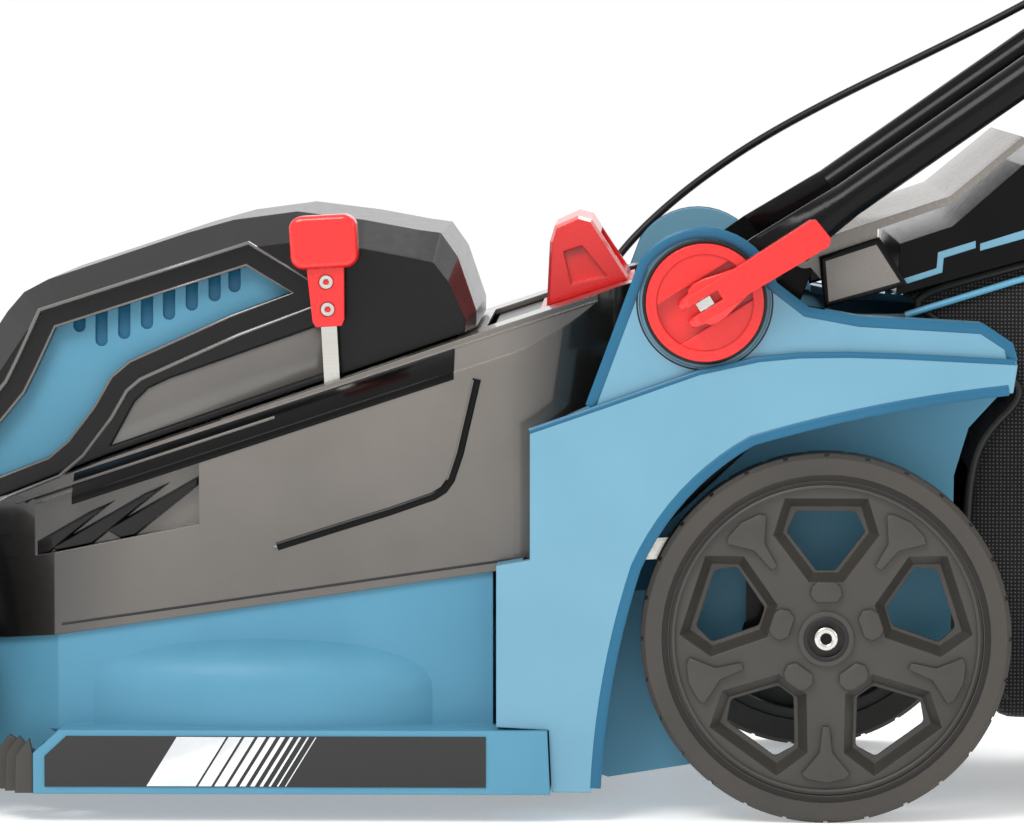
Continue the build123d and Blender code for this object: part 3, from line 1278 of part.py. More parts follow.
def cable_tube(points: list, name: str) -> Part:
    """A stretch of cable along straight runs joined by tangent arcs."""
    radii = corner_radii(points)
    with BuildPart() as tube:
        with BuildLine() as route:
            FilletPolyline(*points, radius=radii)
        with BuildSketch(Plane(origin=route.line @ 0, z_dir=route.line % 0)):
            Circle(CABLE_R)
        sweep()
    print(name, "radii", [round(r) for r in radii], "length", round(route.wire().length),
          "volume ratio", round(tube.part.volume / (pi * CABLE_R ** 2 * route.wire().length), 3))
    return tube.part


write(cable_tube(free_points, "free"), "cable_free")
write(cable_tube(lower_points, "lower"), "cable_lower")
write(cable_tube(upper_points, "upper"), "cable_upper")
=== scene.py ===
"""Finishes, cloth and small fittings of a walk-behind rotary mower, built around its fixed assembly."""

import logging
import math
from dataclasses import dataclass, field
from enum import Enum

import bpy
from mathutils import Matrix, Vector, noise

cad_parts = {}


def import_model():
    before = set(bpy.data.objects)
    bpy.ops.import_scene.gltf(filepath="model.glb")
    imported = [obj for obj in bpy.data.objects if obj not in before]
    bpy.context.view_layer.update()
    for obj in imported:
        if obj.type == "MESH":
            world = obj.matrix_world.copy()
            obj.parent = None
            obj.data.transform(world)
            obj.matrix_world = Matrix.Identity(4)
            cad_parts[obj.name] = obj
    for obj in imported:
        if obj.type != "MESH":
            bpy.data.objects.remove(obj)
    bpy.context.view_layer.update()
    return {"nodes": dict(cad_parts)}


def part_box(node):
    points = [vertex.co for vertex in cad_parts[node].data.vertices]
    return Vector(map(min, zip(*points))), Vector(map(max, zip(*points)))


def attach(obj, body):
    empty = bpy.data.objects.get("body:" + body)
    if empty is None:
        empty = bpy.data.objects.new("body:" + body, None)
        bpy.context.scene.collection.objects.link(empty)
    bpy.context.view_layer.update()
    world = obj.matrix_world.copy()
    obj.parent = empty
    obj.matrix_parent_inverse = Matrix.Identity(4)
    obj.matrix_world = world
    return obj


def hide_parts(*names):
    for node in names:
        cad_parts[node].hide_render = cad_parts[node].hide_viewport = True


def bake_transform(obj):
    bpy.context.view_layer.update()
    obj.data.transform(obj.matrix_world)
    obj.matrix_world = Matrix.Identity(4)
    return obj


log = logging.getLogger("mower")
MM = 0.001
SMOOTH_BELOW = math.radians(35)     # edges that are flatter than this are shaded smooth
Socket = bpy.types.NodeSocket
Points = list[tuple[float, float]]


def linear(hex_colour: str) -> tuple[float, float, float, float]:
    """Turns an sRGB hex colour into linear light.

    Args:
        hex_colour: six hex digits.

    Returns:
        Red, green, blue and an alpha of one.
    """
    parts = [int(hex_colour[i:i + 2], 16) / 255 for i in (0, 2, 4)]
    light = [c / 12.92 if c <= 0.04045 else ((c + 0.055) / 1.055) ** 2.4 for c in parts]
    return light[0], light[1], light[2], 1.0


def add_node(tree: bpy.types.NodeTree, kind: str, inputs: dict | None = None,
             **settings: object) -> bpy.types.Node:
    """Adds one node with its settings, values and links.

    Args:
        tree: the node tree it goes into.
        kind: the node's type, without the leading ShaderNode.
        inputs: a value or an output socket for each named or numbered input.
        settings: properties of the node itself.

    Returns:
        The new node.
    """
    node = tree.nodes.new("ShaderNode" + kind)
    for key, value in settings.items():
        setattr(node, key, value)
    for key, value in (inputs or {}).items():
        if isinstance(value, Socket):
            tree.links.new(value, node.inputs[key])
        else:
            node.inputs[key].default_value = value
    return node


class Surface(Enum):
    """How a surface was made, which settles its relief."""

    GLOSS = "moulded in a polished tool"
    GRAINED = "moulded in a spark-eroded tool"
    COATED = "powder coated"
    BRUSHED = "drawn or brushed"
    CAST = "cast and blasted"
    FOAMED = "closed-cell foam"
    WOVEN = "woven mesh"


# painted shade on the tinted plastic: axis, start and end in metres, and how dark the painted shade is before
# and after
PAINTED_SHADE_ZONES = ((0, -0.605, -0.45, 1.0, 0.0), (0, -0.262, -0.205, 0.0, 0.95), (2, 0.135, 0.30, 0.42, 0.0))
CLOUD_SIZE, FLECK_SIZE = 90.0, 7.0      # spacing of the patches in colour and in gloss, in millimetres


@dataclass(frozen=True)
class Finish:
    """One real material with its colour, gloss and relief, and any painted shade. Lengths are in millimetres.
    """

    name: str
    colour: str
    shade: str
    surface: Surface
    roughness: float
    metallic: float = 0.0
    coat: float = 0.0
    grain: float = 0.8
    relief: float = 0.15
    edge: float = 0.8
    sheen: float = 0.0
    specular: float = 0.5
    # colour of the painted shade, or empty for none
    painted_shade: str = ""

    def relief_height(self, tree: bpy.types.NodeTree, place: Socket) -> Socket:
        """Builds the height pattern of the surface.

        Args:
            tree: the material's node tree.
            place: object coordinates.

        Returns:
            A socket that gives the height.
        """
        scale = 1 / (self.grain * MM)
        if self.surface is Surface.BRUSHED:
            drawn = add_node(tree, "Mapping", {"Vector": place, "Scale": (0.04, 1, 1)})
            return add_node(tree, "TexNoise", {"Vector": drawn.outputs[0], "Scale": scale}).outputs[0]
        if self.surface is Surface.FOAMED:
            return add_node(tree, "TexVoronoi", {"Vector": place, "Scale": scale}).outputs["Distance"]
        if self.surface is Surface.CAST:
            pits = add_node(tree, "TexVoronoi", {"Vector": place, "Scale": scale}, feature="SMOOTH_F1")
            rough = add_node(tree, "TexNoise", {"Vector": place, "Scale": scale * 2, "Detail": 4.0})
            both = {0: pits.outputs["Distance"], 1: rough.outputs[0]}
            return add_node(tree, "Math", both, operation="ADD").outputs[0]
        if self.surface is Surface.WOVEN:
            return weave(tree, self.grain)
        detail = 2.0 if self.surface is Surface.GLOSS else 6.0
        return add_node(tree, "TexNoise", {"Vector": place, "Scale": scale, "Detail": detail}).outputs[0]

    def paint_shade(self, tree: bpy.types.NodeTree, place: Socket, tint: Socket) -> Socket:
        """Paints shade onto the tinted plastic, darker towards the cover's nose, its lower front and its rear
        end.

        Args:
            tree: the material's node tree.
            place: object coordinates.
            tint: the colour to darken.

        Returns:
            A socket that gives the darker colour.
        """
        parts = add_node(tree, "SeparateXYZ", {0: place}).outputs
        dark = None
        # each zone paints shade, and the darkest zone wins
        for axis, start, end, before, after in PAINTED_SHADE_ZONES:
            fall = add_node(tree, "MapRange", {0: parts[axis], 1: start, 2: end, 3: before, 4: after},
                            interpolation_type="SMOOTHSTEP").outputs[0]
            if dark is not None:
                fall = add_node(tree, "Math", {0: dark, 1: fall}, operation="MAXIMUM").outputs[0]
            dark = fall
        return add_node(tree, "Mix", {0: dark, 6: tint, 7: linear(self.painted_shade)}, data_type="RGBA").outputs[2]

    def material(self) -> bpy.types.Material:
        """Builds the material, or returns it if it is already there."""
        made = bpy.data.materials.get(self.name)
        if made:
            return made
        made = bpy.data.materials.new(self.name)
        made.use_nodes = True
        tree = made.node_tree
        shader = tree.nodes["Principled BSDF"]
        place = add_node(tree, "TexCoord").outputs["Object"]
        clouds = add_node(tree, "TexNoise", {"Vector": place, "Scale": 1 / (CLOUD_SIZE * MM), "Detail": 5.0})
        flecks = add_node(tree, "TexNoise", {"Vector": place, "Scale": 1 / (FLECK_SIZE * MM), "Detail": 4.0})
        mixed = add_node(tree, "MapRange", {0: clouds.outputs[0], 1: 0.35, 2: 0.7, 3: 0.0, 4: 1.0})
        colour = add_node(tree, "Mix", {0: mixed.outputs[0], 6: linear(self.colour), 7: linear(self.shade)},
                          data_type="RGBA")
        smooth, rough = max(self.roughness - 0.03, 0.02), min(self.roughness + 0.05, 1.0)
        gloss = add_node(tree, "MapRange", {0: flecks.outputs[0], 1: 0.3, 2: 0.75, 3: smooth, 4: rough})
        height = self.relief_height(tree, place)
        rounded = add_node(tree, "Bevel", {"Radius": self.edge * MM}, samples=4)
        bump = add_node(tree, "Bump", {"Strength": self.relief, "Distance": self.grain * MM * 0.3,
                                       "Height": height, "Normal": rounded.outputs[0]})
        tint = colour.outputs[2]
        # painted shade: darker towards the nose, low down and at the rear end
        if self.painted_shade:
            tint = self.paint_shade(tree, place, tint)
        tree.links.new(tint, shader.inputs["Base Color"])
        tree.links.new(gloss.outputs[0], shader.inputs["Roughness"])
        tree.links.new(bump.outputs[0], shader.inputs["Normal"])
        for key, value in (("Metallic", self.metallic), ("Coat Weight", self.coat), ("Coat Roughness", 0.06),
                           ("Sheen Weight", self.sheen), ("Specular IOR Level", self.specular)):
            shader.inputs[key].default_value = value
        if self.surface is Surface.WOVEN:
            threads = add_node(tree, "MapRange", {0: height, 1: 0.45, 2: 0.62, 3: 0.0, 4: 1.0})
            tree.links.new(threads.outputs[0], colour.inputs[0])
        return made


WAVES_PER_THREAD = 0.318     # scale of a wave texture that gives one thread to each pitch


def weave(tree: bpy.types.NodeTree, pitch: float) -> Socket:
    """Two crossing sets of threads that follow the cloth's own map.

    Args:
        tree: the material's node tree.
        pitch: the thread spacing in millimetres.

    Returns:
        A socket that gives the height of the threads.
    """
    across = add_node(tree, "UVMap", uv_map="cloth").outputs[0]
    thread = {"Vector": across, "Scale": WAVES_PER_THREAD / (pitch * MM), "Distortion": 0.6,
              "Detail Scale": 3.0}
    sets = [add_node(tree, "TexWave", thread, bands_direction=way).outputs["Fac"] for way in ("X", "Y")]
    return add_node(tree, "Math", {0: sets[0], 1: sets[1]}, operation="MULTIPLY").outputs[0]


# ABS with a high gloss: clear, even colour and sharp reflections; some copies are painted darker as shade
BLUE_ABS = Finish("blue_gloss_abs", "6394AA", "5D8EA4", Surface.GLOSS, 0.38, coat=0.1, grain=3.0,
                  relief=0.03, edge=1.2)
# the fenders' blue plastic in a satin gloss, painted darker as shade, for the deck and the intake panels
SHADED_DECK_ABS = Finish("blue_satin_abs_painted_shade", "5188A1", "4B829B", Surface.GLOSS, 0.44, grain=3.0, relief=0.03,
                  edge=1.2, specular=0.25)
# the blue plastic painted darker as shade, for the side plates' edges and step and the backing of the intake
# slots
SHADED_BLUE_ABS = Finish("blue_abs_painted_shade", "1E5D7C", "1B5876", Surface.GLOSS, 0.36, coat=0.08, grain=3.0,
                       relief=0.03, specular=0.25)
BLACK_ABS = Finish("black_gloss_abs", "0C0C0C", "080808", Surface.GLOSS, 0.2, coat=0.08, grain=3.0,
                   relief=0.02, edge=1.6, specular=0.07)
HOOD_ABS = Finish("hood_black_abs", "121214", "0D0D0F", Surface.GLOSS, 0.24, coat=0.12, grain=3.0,
                  relief=0.02, edge=2.0, specular=0.2)
# smoke plastic with painted shade: near black towards the nose, low down and at the rear end
GREY_ABS = Finish("smoke_gloss_abs", "66605A", "5B5650", Surface.GLOSS, 0.18, coat=0.5, grain=3.0,
                  relief=0.02, edge=1.5, painted_shade="0D0D0D")
FACET_ABS = Finish("smoke_satin_abs", "5D5A56", "53504D", Surface.GLOSS, 0.2, coat=0.6, grain=3.0,
                   relief=0.02, edge=0.8)
CHEEK_ABS = Finish("light_smoke_abs", "7B756F", "736D67", Surface.GLOSS, 0.26, coat=0.3, grain=3.0,
                   relief=0.02, edge=1.0)
# glass-filled nylon: dark, with a fine even grain that dulls the light
BLACK_NYLON = Finish("black_grained_nylon", "161616", "1E1E1E", Surface.GRAINED, 0.5, grain=0.8, relief=0.3,
                     specular=0.35)
RED_ABS = Finish("red_gloss_abs", "DD1512", "D2110F", Surface.GLOSS, 0.26, coat=0.4, grain=3.0, relief=0.03,
                 edge=1.5)
WHEEL_PP = Finish("brown_grey_polypropylene", "37342F", "302D29", Surface.GRAINED, 0.42, grain=1.0,
                  relief=0.22, edge=1.2)
TREAD_RUBBER = Finish("brown_grey_rubber", "33302C", "3B3732", Surface.GRAINED, 0.62, grain=1.2,
                      relief=0.35, edge=0.8)
BLACK_COAT = Finish("black_powder_coat", "070707", "0B0B0B", Surface.COATED, 0.24, coat=0.05, grain=1.4,
                    relief=0.1, specular=0.12)
# dark rubber bead that paints the shade inside the rim's groove
GROOVE_SHADE_RUBBER = Finish("groove_shade_rubber", "1B1916", "1F1C19", Surface.GRAINED, 0.6, grain=1.2, relief=0.2,
                       edge=0.3, specular=0.3)
STEEL = Finish("brushed_steel", "A9A8A6", "8F8E8C", Surface.BRUSHED, 0.32, metallic=1.0, grain=0.5,
               relief=0.2, edge=0.4)
ZINC = Finish("zinc_plated_steel", "CFCDC8", "B9B7B1", Surface.BRUSHED, 0.2, metallic=1.0, grain=0.9,
              relief=0.08, edge=0.5)
CAST_ALLOY = Finish("die_cast_alloy", "9C9B98", "8A8986", Surface.CAST, 0.45, metallic=1.0, grain=1.6,
                    relief=0.3)
GRIP_FOAM = Finish("black_foam", "141414", "1C1C1C", Surface.FOAMED, 0.85, grain=1.6, relief=0.5, sheen=0.2)
CABLE_PVC = Finish("black_pvc", "0E0E0E", "131313", Surface.GRAINED, 0.42, grain=0.6, relief=0.1, edge=0.3,
                   specular=0.3)
BAG_MESH = Finish("black_polyester_mesh", "080808", "474546", Surface.WOVEN, 0.75, grain=2.6, relief=0.6,
                  sheen=0.2, edge=0.2, specular=0.2)
LABEL_FILM = Finish("black_label_film", "060606", "0A0A0A", Surface.GLOSS, 0.12, coat=0.4, grain=4.0,
                    relief=0.01, edge=0.3, specular=0.3)
SILVER_FILM = Finish("silver_label_film", "E6E8EA", "C2C6CA", Surface.BRUSHED, 0.22, metallic=0.6,
                     grain=1.2, relief=0.04, edge=0.2)
PIPING_PVC = Finish("blue_pvc_piping", "62A4C1", "5B9CB9", Surface.GRAINED, 0.4, grain=1.0, relief=0.1,
                    edge=0.3)

DRESS = {
    SHADED_DECK_ABS: ("deck_shell", "intake_panels"),
    BLUE_ABS: ("fender_left", "fender_right", "bag_strips"),
    GREY_ABS: ("motor_cover",),
    HOOD_ABS: ("hood_shell", "louvres"),
    CHEEK_ABS: ("rear_flap",),
    BLACK_ABS: ("rear_cowl", "lid_panel", "bag_lid", "bag_grip"),
    LABEL_FILM: ("skirt_labels",),
    BLACK_NYLON: ("controller_box", "battery_tray", "battery_pack", "pivot_bushes", "switch_box",
                  "bail_bracket", "lock_knob_left", "lock_knob_right", "cable_gland"),
    RED_ABS: ("lid_handle", "lever_knob", "start_button", "cam_discs", "cam_lever_left", "cam_lever_right"),
    WHEEL_PP: ("grass_combs", "rim_rear_left", "rim_rear_right", "rim_front_left", "rim_front_right"),
    TREAD_RUBBER: ("tyre_rear_left", "tyre_rear_right", "tyre_front_left", "tyre_front_right"),
    BLACK_COAT: ("front_crank", "rear_crank", "height_quadrant", "handle_lower", "handle_upper", "bail"),
    STEEL: ("motor_shaft", "blade", "flap_rod"),
    ZINC: ("blade_bolt", "link_rod", "lever_strip", "lever_screws", "hinge_bolts", "cam_bolts"),
    CAST_ALLOY: ("motor_can", "blade_boss"),
    GRIP_FOAM: ("grip_sleeve",),
    CABLE_PVC: ("cable_free", "cable_lower", "cable_upper"),
    BAG_MESH: ("bag_fabric",),
}


def dress(piece: bpy.types.Object, finish: Finish) -> None:
    """Gives the whole piece one finish."""
    piece.data.materials.clear()
    piece.data.materials.append(finish.material())


def dress_assembly(nodes: dict[str, bpy.types.Object]) -> None:
    """Gives every node of the assembly its finish.

    Args:
        nodes: the assembly's objects by name.
    """
    for finish, names in DRESS.items():
        for name in names:
            nodes[name].data.materials[0] = finish.material()
    undressed = set(nodes) - {name for names in DRESS.values() for name in names}
    if undressed:
        raise ValueError(f"no finish for {sorted(undressed)}")


def pick(piece: bpy.types.Object) -> None:
    """Makes a piece the only one that is selected, and the active one."""
    bpy.ops.object.select_all(action="DESELECT")
    piece.select_set(True)
    bpy.context.view_layer.objects.active = piece


class Bench:
    """Shapes new pieces in millimetres from the rear axle, the way the assembly is measured."""

    def __init__(self, axle_x: float) -> None:
        """Keeps where the rear axle is, in metres."""
        self.axle_x = axle_x

    def at(self, x: float, y: float, z: float) -> Vector:
        """Turns millimetres from the rear axle into a place in the scene."""
        return Vector((self.axle_x + x * MM, y * MM, z * MM))

    def settle(self, piece: bpy.types.Object, name: str, finish: Finish, body: str,
               slot: str) -> bpy.types.Object:
        """Applies the piece's place, names it, dresses it and lets it ride.

        Args:
            piece: the shaped piece.
            name: its name.
            finish: its material.
            body: the body that it moves with.
            slot: not used.

        Returns:
            The piece.
        """
        pick(piece)
        bpy.ops.object.transform_apply(location=True, rotation=True, scale=True)
        bpy.ops.object.shade_smooth_by_angle(angle=SMOOTH_BELOW)
        piece.name = piece.data.name = name
        dress(piece, finish)
        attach(piece, body)
        log.info("%s: %d faces, rides on %s", name, len(piece.data.polygons), body)
        return piece

    def mesh(self, name: str, points: list[Vector], faces: list[tuple[int, ...]]) -> bpy.types.Object:
        """Makes a bare mesh object from its corners and faces."""
        data = bpy.data.meshes.new(name)
        data.from_pydata(points, [], faces)
        data.update()
        piece = bpy.data.objects.new(name, data)
        bpy.context.scene.collection.objects.link(piece)
        return piece

    def finish_mesh(self, piece: bpy.types.Object, wall: float = 0.0, bevel: float = 0.0) -> None:
        """Merges doubles, turns the faces outwards, and gives a wall and softened edges.

        Args:
            piece: a mesh piece.
            wall: the thickness of its wall in millimetres, or 0 for none.
            bevel: the width of its softened edges in millimetres, or 0 for none.
        """
        pick(piece)
        bpy.ops.object.mode_set(mode="EDIT")
        bpy.ops.mesh.select_all(action="SELECT")
        bpy.ops.mesh.remove_doubles(threshold=0.00001)
        bpy.ops.mesh.normals_make_consistent(inside=False)
        bpy.ops.object.mode_set(mode="OBJECT")
        if wall:
            solid = piece.modifiers.new("wall", "SOLIDIFY")
            solid.thickness, solid.offset = wall * MM, 0.0
            bpy.ops.object.modifier_apply(modifier="wall")
        if bevel:
            soft = piece.modifiers.new("soft", "BEVEL")
            soft.width, soft.segments, soft.limit_method = bevel * MM, 2, "ANGLE"
            bpy.ops.object.modifier_apply(modifier="soft")

    def tube(self, name: str, line: list[Vector], radius: float, closed: bool = False,
             flat: float = 1.0) -> bpy.types.Object:
        """Makes a round or oval bead along a line.

        Args:
            name: the piece's name.
            line: the points that the bead follows, in metres.
            radius: half its width in millimetres.
            closed: whether the line meets itself.
            flat: its thickness across the line's upright, as a part of its width.

        Returns:
            The bead as a mesh.
        """
        curve = bpy.data.curves.new(name, "CURVE")
        curve.dimensions, curve.bevel_depth, curve.bevel_resolution = "3D", radius * MM, 3
        curve.use_fill_caps = not closed
        spline = curve.splines.new("POLY")
        spline.points.add(len(line) - 1)
        for point, place in zip(spline.points, line):
            point.co = (*place, 1.0)
        spline.use_cyclic_u = closed
        bead = bpy.data.objects.new(name, curve)
        bpy.context.scene.collection.objects.link(bead)
        pick(bead)
        bpy.ops.object.convert(target="MESH")
        if flat != 1.0:
            middle = sum((p.y for p in line), 0.0) / len(line)
            for vertex in bead.data.vertices:
                vertex.co.y = middle + (vertex.co.y - middle) * flat
        return bead

    def plate(self, name: str, outline: Points, y: float, thick: float,
              bevel: float = 0.3) -> bpy.types.Object:
        """Makes a flat plate that stands upright along the mower.

        Args:
            name: the piece's name.
            outline: its corners, x and z in millimetres.
            y: where its outer face is.
            thick: its thickness, towards the middle of the mower.
            bevel: the width of its softened edges.

        Returns:
            The plate.
        """
        hand = math.copysign(1.0, y)
        inner = [self.at(x, y - hand * thick, z) for x, z in outline]
        piece = self.mesh(name, inner, [tuple(range(len(outline)))])
        pick(piece)
        bpy.ops.object.mode_set(mode="EDIT")
        bpy.ops.mesh.select_all(action="SELECT")
        bpy.ops.mesh.extrude_region_move(TRANSFORM_OT_translate={"value": (0, hand * thick * MM, 0)})
        bpy.ops.object.mode_set(mode="OBJECT")
        self.finish_mesh(piece, bevel=bevel)
        return piece


def resample(points: Points, step: float) -> Points:
    """Splits a closed outline into even stretches, keeping its corners.

    Args:
        points: the outline's corners.
        step: the longest stretch.

    Returns:
        The points of the finer outline.
    """
    finer = []
    for (x0, z0), (x1, z1) in zip(points, points[1:] + points[:1]):
        count = max(1, math.ceil(math.dist((x0, z0), (x1, z1)) / step))
        finer += [(x0 + (x1 - x0) * i / count, z0 + (z1 - z0) * i / count) for i in range(count)]
    return finer


def circle(centre: tuple[float, float], radius: float, count: int) -> Points:
    """Even points round a circle."""
    turns = [math.tau * i / count for i in range(count)]
    return [(centre[0] + radius * math.cos(turn), centre[1] + radius * math.sin(turn)) for turn in turns]


def rounded(points: Points, times: int, share: float = 0.25) -> Points:
    """Cuts the corners of a closed outline again and again until it is round."""
    for _ in range(times):
        cut = []
        for (x0, z0), (x1, z1) in zip(points, points[1:] + points[:1]):
            cut.append((x0 + (x1 - x0) * share, z0 + (z1 - z0) * share))
            cut.append((x1 - (x1 - x0) * share, z1 - (z1 - z0) * share))
        points = cut
    return points


@dataclass
class GrassBag:
    """Mesh bag that hangs under its moulded lid, open at the front. Lengths are in millimetres."""

    bench: Bench
    half: float = 183.0
    wall: float = 1.2
    sag: float = 3.5
    mesh_step: float = 16.0
    centre: tuple[float, float] = (320.0, 245.0)
    side_shares: tuple[float, ...] = (0.2, 0.4, 0.6, 0.78, 0.9, 0.965)
    stations: tuple[float, ...] = (154.0, 120.0, 85.0, 50.0, 17.0)
    mouth: tuple[float, float, float] = (154.0, 147.0, 235.0)
    mouth_x: float = 113.0
    cut: tuple[float, float] = (1.0, 1.0)
    outline: Points = field(default_factory=lambda: [
        (56, 358), (80, 341), (133, 302), (137, 288), (112, 264), (102, 238), (99, 190), (100, 145),
        (121, 65), (300, 60), (470, 80), (515, 140), (521, 300), (504, 446), (300, 424), (131, 379)])
    under_lid: Points = field(default_factory=lambda: [
        (56, 346), (131, 369.5), (300, 415.5), (400, 427), (502, 438)])

    def shape(self) -> bpy.types.Object:
        """Makes the cloth as one sheet, open at the front."""
        outline = resample(self.outline, self.mesh_step)
        centre = self.centre
        side = [(self.half, share) for share in self.side_shares]
        edge = [(self.half - 4, 0.99), (self.half - 12, 1.0)]
        middle = [(y, 1.0) for y in self.stations]
        half = side + edge + middle
        rows = [(-y, share) for y, share in half] + [(y, share) for y, share in reversed(half)]
        points, spans = [], len(outline)
        for y, share in rows:
            points += [self.bench.at(centre[0] + (x - centre[0]) * share, y,
                                     centre[1] + (z - centre[1]) * share) for x, z in outline]
        faces = []
        for row in range(len(rows) - 1):
            for i in range(spans):
                j = (i + 1) % spans
                faces.append((row * spans + i, row * spans + j, (row + 1) * spans + j, (row + 1) * spans + i))
        points += [self.bench.at(centre[0], hand * self.half, centre[1]) for hand in (-1, 1)]
        last = (len(rows) - 1) * spans
        faces += [((i + 1) % spans, i, len(points) - 2) for i in range(spans)]
        faces += [(last + i, last + (i + 1) % spans, len(points) - 1) for i in range(spans)]
        reach, low, high = self.mouth
        kept = []
        for face in faces:
            spot = sum((points[i] for i in face), Vector()) / len(face)
            x, y, z = (spot.x - self.bench.axle_x) / MM, spot.y / MM, spot.z / MM
            if not (x < self.mouth_x and abs(y) < reach and low < z < high):
                kept.append(face)
        return self.bench.mesh("bag_cloth", points, kept)

    def crease(self, cloth: bpy.types.Object) -> None:
        """Sags the sides, floor and back between their edges and adds soft upright creases."""
        for vertex in cloth.data.vertices:
            x, y, z = (vertex.co.x - self.bench.axle_x) / MM, vertex.co.y / MM, vertex.co.z / MM
            if x < 108 and z > 130:
                continue
            on_side = min(1.0, max(0.0, (abs(y) - 150) / 30))
            depth = max(0.0, 1 - ((x - 320) / 205) ** 2) * max(0.0, 1 - ((z - 240) / 185) ** 2)
            folds = noise.noise(Vector((x / 34, y / 60, z / 150))) * 2.2
            folds += noise.noise(vertex.co / 0.045) * 1.1
            vertex.co.y += math.copysign(on_side * (self.sag * depth + folds * min(1.0, depth * 3)) * MM, y)
            across = max(0.0, 1 - (y / 175) ** 2)
            if z < 120:
                flat = across * max(0.0, 1 - ((x - 310) / 190) ** 2)
                vertex.co.z -= (5.0 * flat - folds * flat) * MM
            if x > 480:
                upright = max(0.0, 1 - ((z - 230) / 180) ** 2)
                vertex.co.x += (4.0 * across * upright + folds) * MM

    def map_cloth(self, cloth: bpy.types.Object) -> None:
        """Lays a map over the cloth, in metres, so that its weave has a real size."""
        chart = cloth.data.uv_layers.new(name="cloth")
        for face in cloth.data.polygons:
            facing = [abs(part) for part in face.normal]
            for loop in face.loop_indices:
                place = cloth.data.vertices[cloth.data.loops[loop].vertex_index].co
                if facing[1] >= max(facing[0], facing[2]):
                    chart.data[loop].uv = (place.x, place.z)
                elif facing[2] >= facing[0]:
                    chart.data[loop].uv = (place.x, place.y)
                else:
                    chart.data[loop].uv = (place.y, place.z)

    def build(self) -> None:
        """Makes the cloth, its binding and its piping."""
        cloth = self.shape()
        self.bench.finish_mesh(cloth)
        smooth = cloth.modifiers.new("smooth", "SUBSURF")
        smooth.levels = smooth.render_levels = 1
        bpy.ops.object.modifier_apply(modifier="smooth")
        self.crease(cloth)
        self.bench.finish_mesh(cloth, wall=self.wall)
        self.map_cloth(cloth)
        self.bench.settle(cloth, "bag_cloth", BAG_MESH, "grass_bag", "mesh")
        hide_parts("bag_fabric")
        round_outline = rounded(self.outline, 2)
        for hand, side in ((-1, "left"), (1, "right")):
            line = [self.bench.at(x, hand * (self.half - 3), z) for x, z in round_outline]
            binding = self.bench.tube("binding_" + side, line, 3.2, closed=True)
            edge = [self.bench.at(x, hand * (self.half + 3.0), z) for x, z in self.under_lid]
            piping = self.bench.tube("piping_" + side, edge, 2.4)
            for piece, name, finish, slot in ((binding, "binding", BLACK_NYLON, "mesh"),
                                              (piping, "piping", PIPING_PVC, "deck_blue")):
                self.bench.settle(piece, f"bag_{name}_{side}", finish, "grass_bag", slot)


@dataclass
class SidePlateTrim:
    """The edges and the step of each rear side plate, in blue painted darker as shade. Lengths are in
    millimetres.
    """

    bench: Bench
    face: float = 256.0
    upper_face: float = 250.0
    bead: float = 4.0
    step: Points = field(default_factory=lambda: [
        (-203, 267.5), (-155, 284), (-87, 308), (-46, 317), (-19, 319.5), (15, 320), (50, 319), (128, 315)])

    def arc(self, start: tuple[float, float], middle: tuple[float, float], end: tuple[float, float],
            count: int = 10) -> Points:
        """Points along the circle through three points."""
        (ax, ay), (bx, by), (cx, cy) = start, middle, end
        a, b, c = ax**2 + ay**2, bx**2 + by**2, cx**2 + cy**2
        d = 2 * (ax * (by - cy) + bx * (cy - ay) + cx * (ay - by))
        ux = (a * (by - cy) + b * (cy - ay) + c * (ay - by)) / d
        uy = (a * (cx - bx) + b * (ax - cx) + c * (bx - ax)) / d
        radius = math.hypot(ax - ux, ay - uy)
        first, mid, last = (math.atan2(y - uy, x - ux) for x, y in (start, middle, end))
        sweep = (last - first) % math.tau
        if (mid - first) % math.tau > sweep:
            sweep -= math.tau
        angles = [first + sweep * i / count for i in range(count + 1)]
        return [(ux + radius * math.cos(angle), uy + radius * math.sin(angle)) for angle in angles]

    def build(self) -> None:
        """Makes the wheel arch's edge, the ear's edge and the step on both sides."""
        arch = (self.arc((-158, 24), (-149.5, 100), (-130.5, 176))
                + self.arc((-130.5, 176), (-98, 226), (-51, 263.5))
                + self.arc((-51, 263.5), (37.5, 285), (124, 298)))
        ear = [(-161.5, 286), (-125, 384)] + self.arc((-125, 384), (-80, 405), (-37.5, 369), 16)
        ear += [(-14, 351), (22, 344.4), (106, 339.4), (124, 327.5), (126.8, 317)]
        for hand, side in ((-1, "left"), (1, "right")):
            # the arch and ear edge beads are blue painted darker as the shade on those edges
            for part, line, face in (("arch", arch, self.face), ("ear", ear, self.upper_face)):
                points = [self.bench.at(x, hand * (face - 0.6), z) for x, z in line]
                bead = self.bench.tube(part, points, self.bead, flat=0.4)
                self.bench.settle(bead, f"plate_{part}_edge_{side}", SHADED_BLUE_ABS, "deck", "deck_blue")
            # the step bead is blue painted darker as the shade on the sloped step
            points = [self.bench.at(x, hand * (self.face - 2.2), z + 0.8) for x, z in self.step]
            bead = self.bench.tube("step", points, 3.3, flat=0.6)
            self.bench.settle(bead, f"plate_step_{side}", SHADED_BLUE_ABS, "deck", "deck_blue")


